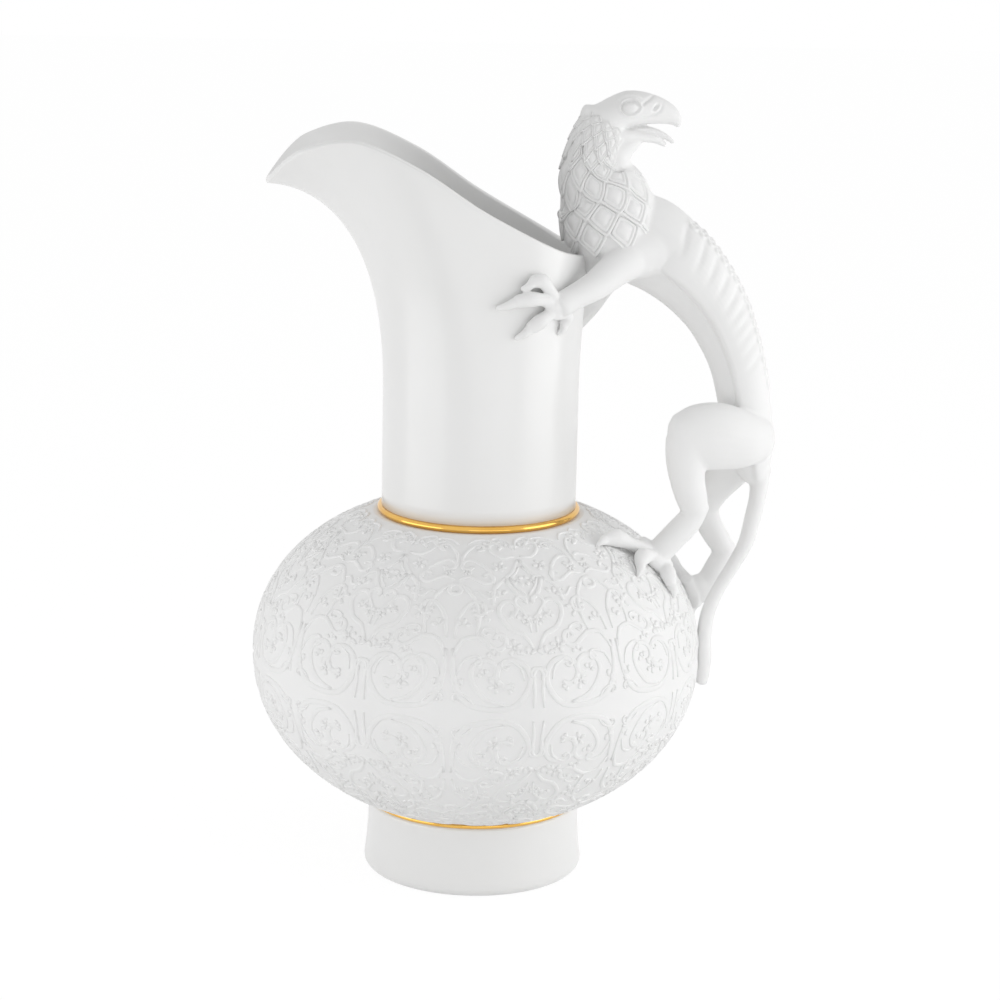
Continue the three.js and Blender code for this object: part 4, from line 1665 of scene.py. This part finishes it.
class Griffin:
    """The handle: every casting of the griffin, fused where they meet and parted again."""

    # Voxels in millimetres and passes of smoothing, for the main forms and again with the crisp ones
    base_voxel = 0.6
    fine_voxel = 0.4
    base_passes = 12
    fine_passes = 2
    # Depth that a cut edge is turned in, and share of a cap's size that its middle is sunk
    hem = 0.8
    cap_depth = 0.4
    # Share that a distance across the head counts for its lines
    face_depth = 0.35
    # Reach of a pressed line in radii, and the angle at which its taper starts
    groove_reach = 3.0
    taper_start = 0.25
    # Rounds of voting on a face's casting, the weight of its own vote, and rounds against stray patches
    vote_rounds = 12
    own_vote = 1.5
    stray_rounds = 4

    def __init__(self, bulb: Bulb) -> None:
        """Sets out the castings.

        Args:
            bulb: The bulb that the hind paws stand on.
        """
        neck_wall, bulb_wall = Wall(), Wall(bulb)
        near_toes, far_toes = [*TALON_TOES, NEAR_THUMB], [*mirrored(TALON_TOES), FAR_THUMB]
        left_talon = Claw(
            "griffin_left_talon", neck_wall, angle=-48, level=233.9, palm=6.4, toes=near_toes
        )
        right_talon = Claw(
            "griffin_right_talon", neck_wall, angle=40, level=211.1, palm=6.4, toes=far_toes
        )
        left_paw = Claw(
            "griffin_left_hind_paw", bulb_wall, angle=-16, level=131.1, palm=7.4, toes=PAW_TOES
        )
        right_paw = Claw(
            "griffin_right_hind_paw", bulb_wall, angle=8, level=109.4, palm=7.4, toes=mirrored(PAW_TOES)
        )
        self.torso, self.plumage, self.head, self.tail = Torso(), Plumage(), Head(), Tail()
        self.claws = [left_talon, right_talon, left_paw, right_paw]
        left_shoulder = (
            (77.0, -4.2, 246.0, 7.0, 6.6),
            (70.0, -6.0, 249.6, 9.0, 8.0),
            (63.0, -8.0, 251.6, 10.0, 8.4),
            (56.5, -10.6, 250.6, 9.6, 8.0),
        )
        right_shoulder = [(x, -y, *rest) for x, y, *rest in left_shoulder]
        left_elbow = (
            (56.0, -12.0, 250.0, 5.4, 5.0),
            (60.0, -13.4, 247.8, 4.2, 3.8),
            (63.6, -13.8, 246.0, 2.0, 1.8),
        )
        left_arm = (
            (59.5, -7.5, 253.0, 10.0, 8.5),
            (54.8, -13.6, 249.2, 7.8, 6.8),
            (48.6, -17.6, 245.0, 6.6, 6.2),
            (42.6, -21.4, 240.8, 5.8, 5.6),
        )
        right_elbow = ((55.0, 12.0, 247.0, 5.4, 5.0), (61.0, 13.0, 243.0, 2.4, 2.2))
        right_arm = (
            (58.5, 7.5, 251.0, 10.0, 8.5),
            (53.0, 13.4, 243.8, 7.6, 6.8),
            (47.4, 17.6, 235.6, 6.4, 6.0),
            (42.4, 21.0, 226.4, 5.7, 5.5),
        )
        left_thigh = (
            (110.0, -6.5, 177.6, 9.0, 7.0),
            (102.0, -11.5, 178.6, 11.6, 8.8),
            (92.0, -15.2, 180.6, 13.4, 9.6),
            (84.2, -16.6, 181.0, 12.7, 9.2),
            (78.8, -17.2, 180.2, 10.8, 8.4),
        )
        left_shank = (
            (80.6, -17.5, 178.6, 9.2, 8.2),
            (79.8, -17.9, 172.4, 8.1, 7.2),
            (80.7, -18.0, 163.6, 6.9, 6.4),
            (83.0, -18.0, 155.0, 6.0, 5.6),
            (84.4, -17.8, 150.6, 4.8, 4.8),
        )
        left_hock = (
            (83.0, -17.9, 153.6, 4.6, 4.6),
            (86.4, -17.7, 152.9, 3.4, 3.2),
            (88.8, -17.6, 152.4, 1.6, 1.6),
        )
        left_ankle = ((85.4, -17.7, 152.0, 4.0, 4.2), (81.2, -18.2, 146.6, 5.2, 5.0))
        right_thigh = (
            (107.4, 7.0, 173.9, 9.0, 7.0),
            (101.0, 12.0, 162.9, 9.2, 8.0),
            (94.6, 14.4, 151.9, 6.7, 6.6),
            (91.4, 15.0, 143.4, 4.8, 4.8),
        )
        right_shank = (
            (91.6, 15.0, 147.0, 5.4, 5.2),
            (93.4, 15.4, 139.0, 5.2, 5.0),
            (98.0, 15.4, 131.0, 4.8, 4.8),
            (100.8, 15.4, 126.6, 4.0, 4.2),
        )
        right_hock = ((98.6, 15.2, 130.2, 4.2, 4.2), (104.0, 15.2, 128.6, 1.7, 1.7))
        right_ankle = (
            (101.0, 15.2, 128.0, 4.0, 4.0),
            (97.6, 15.0, 121.0, 4.6, 4.6),
            (93.6, 13.6, 112.5, 5.8, 5.6),
        )
        left_hind = [left_thigh, left_shank, left_hock, left_ankle]
        right_hind = [right_thigh, right_shank, right_hock, right_ankle]
        left_fore = [left_shoulder, left_elbow, left_arm]
        right_fore = [right_shoulder, right_elbow, right_arm]
        self.legs = [
            Leg("griffin_left_foreleg", left_fore, left_talon, ankle=5.0),
            Leg("griffin_right_foreleg", right_fore, right_talon, ankle=5.0),
            Leg("griffin_left_hind_leg", left_hind, left_paw, ankle=5.2),
            Leg("griffin_right_hind_leg", right_hind, right_paw, ankle=6.0),
        ]

    def fuse(self, mesh: Mesh, voxel: float, passes: int) -> Mesh:
        """Fuses overlapping forms into one skin and smooths it.

        Args:
            mesh: Overlapping closed forms.
            voxel: Size of the voxels in millimetres.
            passes: Passes of smoothing.

        Returns:
            The fused skin.
        """
        clay = bpy.data.objects.new("clay", mesh)
        bpy.context.scene.collection.objects.link(clay)
        remesh = clay.modifiers.new("fuse", "REMESH")
        remesh.mode = "VOXEL"
        remesh.voxel_size = voxel
        soften = clay.modifiers.new("soften", "SMOOTH")
        soften.factor = 0.5
        soften.iterations = passes
        view = clay.evaluated_get(bpy.context.evaluated_depsgraph_get())
        made = bpy.data.meshes.new_from_object(view)
        bpy.data.objects.remove(clay)
        return made

    def gather(self, limbs: Iterable[Limb], start: Mesh | None = None) -> tuple[Mesh, list[str]]:
        """Puts limbs into one mesh.

        Args:
            limbs: The limbs to build.
            start: Mesh to start from.

        Returns:
            The mesh, and the node that each face of the limbs belongs to.
        """
        whole = bmesh.new()
        if start:
            whole.from_mesh(start)
        nodes: list[str] = []
        for limb in limbs:
            body = limb.body()
            nodes += [limb.node] * len(body.faces)
            pour(body, whole)
        return as_mesh("forms", whole), nodes

    def press(self, mesh: Mesh) -> None:
        """Presses the lines of the face and the creases of the ribs into the skin.

        Args:
            mesh: The fused skin, which is changed.
        """
        count = len(mesh.vertices)
        places, normals = np.zeros(count * 3), np.zeros(count * 3)
        mesh.vertices.foreach_get("co", places)
        mesh.vertices.foreach_get("normal", normals)
        places, normals = places.reshape(-1, 3), normals.reshape(-1, 3)
        jobs = [(self.face_depth, groove) for groove in self.head.grooves()]
        jobs += [(1.0, groove) for groove in self.torso.grooves()]
        for sideways, (path, radius, depth) in jobs:
            wide = self.groove_reach
            reach = np.array((wide, wide / sideways, wide)) * radius
            held = (places > path.min(0) - reach) & (places < path.max(0) + reach)
            near = np.nonzero(held.all(1))[0]
            gap = np.linalg.norm((places[near][:, None] - path[None]) * (1.0, sideways, 1.0), axis=2)
            taper = np.sin(np.linspace(self.taper_start, math.pi - self.taper_start, len(path)))
            weight = (taper * np.exp(-((gap / radius) ** 2))).max(1)
            places[near] -= normals[near] * (depth * weight)[:, None]
        mesh.vertices.foreach_set("co", places.ravel())
        mesh.update()

    def labels(self, mesh: Mesh, forms: Mesh, nodes: list[str], names: list[str]) -> np.ndarray:
        """Gives each face of the skin the casting that it lies on.

        Args:
            mesh: The fused skin.
            forms: The forms that it was fused from.
            nodes: The node of each face of the forms.
            names: All the nodes' names.

        Returns:
            An index into the names for each face.
        """
        corners = [v.co for v in forms.vertices]
        tree = BVHTree.FromPolygons(corners, [p.vertices for p in forms.polygons])
        index = {name: k for k, name in enumerate(names)}
        found = np.array([index[nodes[tree.find_nearest(p.center)[2]]] for p in mesh.polygons])
        pairs = self.neighbours(mesh)
        for _ in range(self.vote_rounds):
            votes = np.zeros((len(found), len(names)))
            np.add.at(votes, (pairs[:, 0], found[pairs[:, 1]]), 1)
            np.add.at(votes, (pairs[:, 1], found[pairs[:, 0]]), 1)
            votes[np.arange(len(found)), found] += self.own_vote
            found = votes.argmax(1)
        return self.without_islands(found, pairs, len(names))

    @staticmethod
    def neighbours(mesh: Mesh) -> np.ndarray:
        """Pairs of faces that share an edge.

        Args:
            mesh: A closed mesh.

        Returns:
            Two face numbers for each edge.
        """
        edges = np.zeros(len(mesh.loops), int)
        mesh.loops.foreach_get("edge_index", edges)
        totals = np.zeros(len(mesh.polygons), int)
        mesh.polygons.foreach_get("loop_total", totals)
        faces = np.repeat(np.arange(len(totals)), totals)
        order = np.argsort(edges, kind="stable")
        edges, faces = edges[order], faces[order]
        twin = np.nonzero(edges[1:] == edges[:-1])[0]
        return np.stack([faces[twin], faces[twin + 1]], 1)

    @staticmethod
    def patches(found: np.ndarray, pairs: np.ndarray) -> np.ndarray:
        """Numbers the connected patches of the castings.

        Args:
            found: Casting of each face.
            pairs: Pairs of neighbouring faces.

        Returns:
            The lowest face of the patch that each face is in.
        """
        patch = np.arange(len(found))
        same = pairs[found[pairs[:, 0]] == found[pairs[:, 1]]]
        while True:
            low = np.minimum(patch[same[:, 0]], patch[same[:, 1]])
            fresh = patch.copy()
            np.minimum.at(fresh, same[:, 0], low)
            np.minimum.at(fresh, same[:, 1], low)
            fresh = fresh[fresh]
            if (fresh == patch).all():
                return patch
            patch = fresh

    def without_islands(self, found: np.ndarray, pairs: np.ndarray, count: int) -> np.ndarray:
        """Hands stray patches of a casting to the casting around them.

        Args:
            found: Casting of each face.
            pairs: Pairs of neighbouring faces.
            count: Number of castings.

        Returns:
            The castings with one patch each.
        """
        for _ in range(self.stray_rounds):
            patch = self.patches(found, pairs)
            sizes = np.bincount(patch, minlength=len(found))
            main = np.zeros(len(found), bool)
            for k in np.unique(found):
                own = np.nonzero(found == k)[0]
                main |= patch == patch[own[sizes[patch[own]].argmax()]]
            if main.all():
                break
            votes = np.zeros((len(found), count))
            for a, b in ((0, 1), (1, 0)):
                use = main[pairs[:, b]] & ~main[pairs[:, a]]
                np.add.at(votes, (pairs[use, a], found[pairs[use, b]]), 1)
            for stray in np.unique(patch[~main & (votes.sum(1) > 0)]):
                members = patch == stray
                found[members] = votes[members].sum(0).argmax()
        return found

    def part(self, skin: Mesh, found: np.ndarray, index: int) -> BMesh:
        """Cuts one casting out of the skin and closes it.

        Args:
            skin: The fused skin.
            found: Casting of each face.
            index: The casting to keep.

        Returns:
            The closed casting, with the skin's normals in a layer.
        """
        bm = bmesh.new()
        bm.from_mesh(skin)
        bm.faces.ensure_lookup_table()
        others = [bm.faces[k] for k in np.nonzero(found != index)[0]]
        bmesh.ops.delete(bm, geom=others, context="FACES")
        rim = [edge for edge in bm.edges if edge.is_boundary]
        inside = {}
        for vert in (vert for edge in rim for vert in edge.verts):
            inside[vert] = [face.calc_center_median() for face in vert.link_faces]
        layer = bm.verts.layers.float_vector["skin_normal"]
        hem = bmesh.ops.extrude_edge_only(bm, edges=rim)["geom"]
        for vert in [item for item in hem if isinstance(item, BMVert)]:
            vert.co -= vert[layer] * self.hem
        loose = [item for item in hem if isinstance(item, BMEdge) and item.is_boundary]
        for cap in bmesh.ops.holes_fill(bm, edges=loose, sides=0)["faces"]:
            middle = sum((vert.co for vert in cap.verts), Vector()) / len(cap.verts)
            around = (other for vert in cap.verts for edge in vert.link_edges for other in edge.verts)
            own = [vert for vert in dict.fromkeys(around) if vert in inside]
            pull = Vector()
            for vert in own:
                along = sum(inside[vert], Vector()) / len(inside[vert]) - vert.co
                pull += along.normalized() - vert[layer]
            inward = pull / len(own)
            reach = sum((vert.co - middle).length for vert in cap.verts) / len(cap.verts)
            crown = bmesh.ops.poke(bm, faces=[cap])["verts"][0]
            crown.co = middle + inward.normalized() * reach * self.cap_depth
        return bm

    def build(self) -> list[Object]:
        """Fuses the griffin and parts it into its castings.

        Returns:
            One piece for each casting, which keeps the name of its node as a property.
        """
        base = [*self.torso.forms(), self.plumage.core(), *self.head.forms(), *self.tail.forms()]
        for leg in self.legs:
            base += leg.forms()
        fine = [*self.torso.details(), *self.head.details()]
        for claw in self.claws:
            fine += claw.details()
        rough, _ = self.gather(base)
        body = self.fuse(rough, self.base_voxel, self.base_passes)
        forms, nodes = self.gather([*base, *fine])
        clay, _ = self.gather(fine, body)
        skin = self.fuse(clay, self.fine_voxel, self.fine_passes)
        self.press(skin)
        names = list(dict.fromkeys(nodes))
        found = self.labels(skin, forms, nodes, names)
        normals = np.zeros(len(skin.vertices) * 3, np.float32)
        skin.vertices.foreach_get("normal", normals)
        skin.attributes.new("skin_normal", "FLOAT_VECTOR", "POINT").data.foreach_set("vector", normals)
        pieces = []
        for index, name in enumerate(names):
            piece = as_object(f"{name}_porcelain", self.part(skin, found, index))
            mesh = piece.data
            own = np.zeros(len(mesh.vertices) * 3, np.float32)
            mesh.attributes["skin_normal"].data.foreach_get("vector", own)
            mesh.attributes.remove(mesh.attributes["skin_normal"])
            mesh.normals_split_custom_set_from_vertices(own.reshape(-1, 3))
            piece["node"] = name
            pieces.append(piece)
        return pieces


# Studio


@dataclass
class Studio:
    """Camera, soft lamps, floor and the white room around the jug."""

    # Camera: place, lens and sensor in millimetres, angles in degrees, clip in metres
    camera_place: Row = (-48.0, -1154.23, 425.56)
    camera_turn: float = -2.8
    camera_tilt: float = 13.38
    camera_roll: float = 1.18
    lens: float = 108.0
    sensor: float = 36.0
    clip_end: float = 20.0
    aim: Row = (10.0, 0.0, 150.0)
    # Light of the room, and of the floor as the camera sees it
    fill: float = 0.65
    white: float = 1.0
    floor_size: float = 4000.0
    floor_tone: Row = (0.9, 0.9, 0.9, 1)
    floor_glow: float = 1.05
    floor_share: float = 0.88
    # Soft boxes: name, place and size in millimetres, and power in watts
    boxes: tuple[tuple[str, Row, Row, float], ...] = (
        ("left box", (-560, -220, 60), (600, 460), 1.3),
        ("right box", (820, -220, 160), (820, 820), 3.7),
        ("top box", (100, 200, 1300), (900, 900), 0.4),
        ("low box", (160, -820, 30), (700, 260), 0.75),
    )

    def camera(self) -> None:
        """Sets the camera where the photograph was taken."""
        data = bpy.data.cameras.new("camera")
        data.lens = self.lens
        data.sensor_width = self.sensor
        data.clip_end = self.clip_end
        seat = bpy.data.objects.new("camera", data)
        bpy.context.scene.collection.objects.link(seat)
        turn = Matrix.Rotation(math.radians(self.camera_turn), 4, "Z")
        tilt = Matrix.Rotation(math.radians(90 - self.camera_tilt), 4, "X")
        roll = Matrix.Rotation(math.radians(self.camera_roll), 4, "Z")
        seat.matrix_world = Matrix.Translation(Vector(self.camera_place) * MM) @ turn @ tilt @ roll
        bpy.context.scene.camera = seat

    def lamp(self, name: str, place: Row, size: Row, power: float) -> None:
        """Hangs a soft box that faces the jug.

        Args:
            name: Name of the lamp.
            place: Its place in millimetres.
            size: Its width and height in millimetres.
            power: Its power in watts.
        """
        data = bpy.data.lights.new(name, "AREA")
        data.shape = "RECTANGLE"
        data.size, data.size_y = (side * MM for side in size)
        data.energy = power
        seat = bpy.data.objects.new(name, data)
        seat.location = Vector(place) * MM
        seat.rotation_euler = (Vector(self.aim) - Vector(place)).to_track_quat("-Z", "Y").to_euler()
        bpy.context.scene.collection.objects.link(seat)

    @staticmethod
    def seen(sheet: NodeSheet) -> NodeSocket:
        """A mask of the rays that show the background: from the camera, in gloss and through glass.

        Args:
            sheet: Tree to add it to.

        Returns:
            One for such a ray, and zero for light.
        """
        path = sheet.add("ShaderNodeLightPath").outputs
        shown = sheet.math("MAXIMUM", path["Is Camera Ray"], path["Is Glossy Ray"])
        return sheet.math("MAXIMUM", shown, path["Is Transmission Ray"])

    def room(self) -> None:
        """Paints the world white to the camera and to gloss, and dimmer as a source of light."""
        world = bpy.data.worlds.new("white room")
        bpy.context.scene.world = world
        world.use_nodes = True
        sheet = NodeSheet(world.node_tree)
        fill = sheet.add("ShaderNodeBackground", Color=(1, 1, 1, 1), Strength=self.fill)
        white = sheet.add("ShaderNodeBackground", Color=(1, 1, 1, 1), Strength=self.white)
        sheet.add("ShaderNodeOutputWorld", Surface=sheet.mix(self.seen(sheet), fill, white))

    def floor(self) -> None:
        """Lays a plain pale floor that is white to the camera where no shadow falls."""
        bm = bmesh.new()
        bmesh.ops.create_grid(bm, x_segments=1, y_segments=1, size=self.floor_size)
        slab = as_object("floor", bm)
        made = bpy.data.materials.new("pale floor")
        made.use_nodes = True
        sheet = NodeSheet(made.node_tree)
        matte = sheet.add("ShaderNodeBsdfDiffuse", Color=self.floor_tone)
        white = sheet.add("ShaderNodeEmission", Color=(1, 1, 1, 1), Strength=self.floor_glow)
        share = sheet.math("MULTIPLY", self.seen(sheet), self.floor_share)
        sheet.add("ShaderNodeOutputMaterial", Surface=sheet.mix(share, matte, white))
        slab.data.materials.append(made)

    def build(self) -> None:
        """Sets up the whole studio."""
        bpy.context.scene.view_settings.view_transform = "Standard"
        self.camera()
        self.room()
        self.floor()
        for box in self.boxes:
            self.lamp(*box)


def main() -> None:
    """Builds the jug piece by piece."""
    logging.basicConfig(level=logging.INFO, format="%(name)s %(message)s")
    surface = fired_surface()
    glaze, biscuit, gilt = (finish.material(surface) for finish in (GLAZED, BISCUIT, GILT))
    Studio().build()
    settle(Foot().build(), glaze, ["foot"])
    foot_band = GiltBand(
        "foot_band_gilding", "foot_gold_band", inner=38.2, outer=42.9, bottom=28.1, height=2.0
    )
    neck_band = GiltBand(
        "neck_band_gilding", "neck_gold_band", inner=34.4, outer=40.1, bottom=146.5, height=2.8
    )
    for band in (foot_band, neck_band):
        settle(band.build(), gilt, [band.node])
    bulb = Bulb()
    settle(bulb.build(), biscuit, ["bulb"])
    for relief in Scrollwork(bulb).build():
        settle(relief, biscuit)
    settle(Neck().build(), glaze, ["neck"])
    griffin = Griffin(bulb)
    for piece in griffin.build():
        settle(piece, biscuit, [piece["node"]])
    settle(as_object("griffin_feathers", griffin.plumage.feathers()), biscuit)
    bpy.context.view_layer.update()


if __name__ == "__main__":
    main()
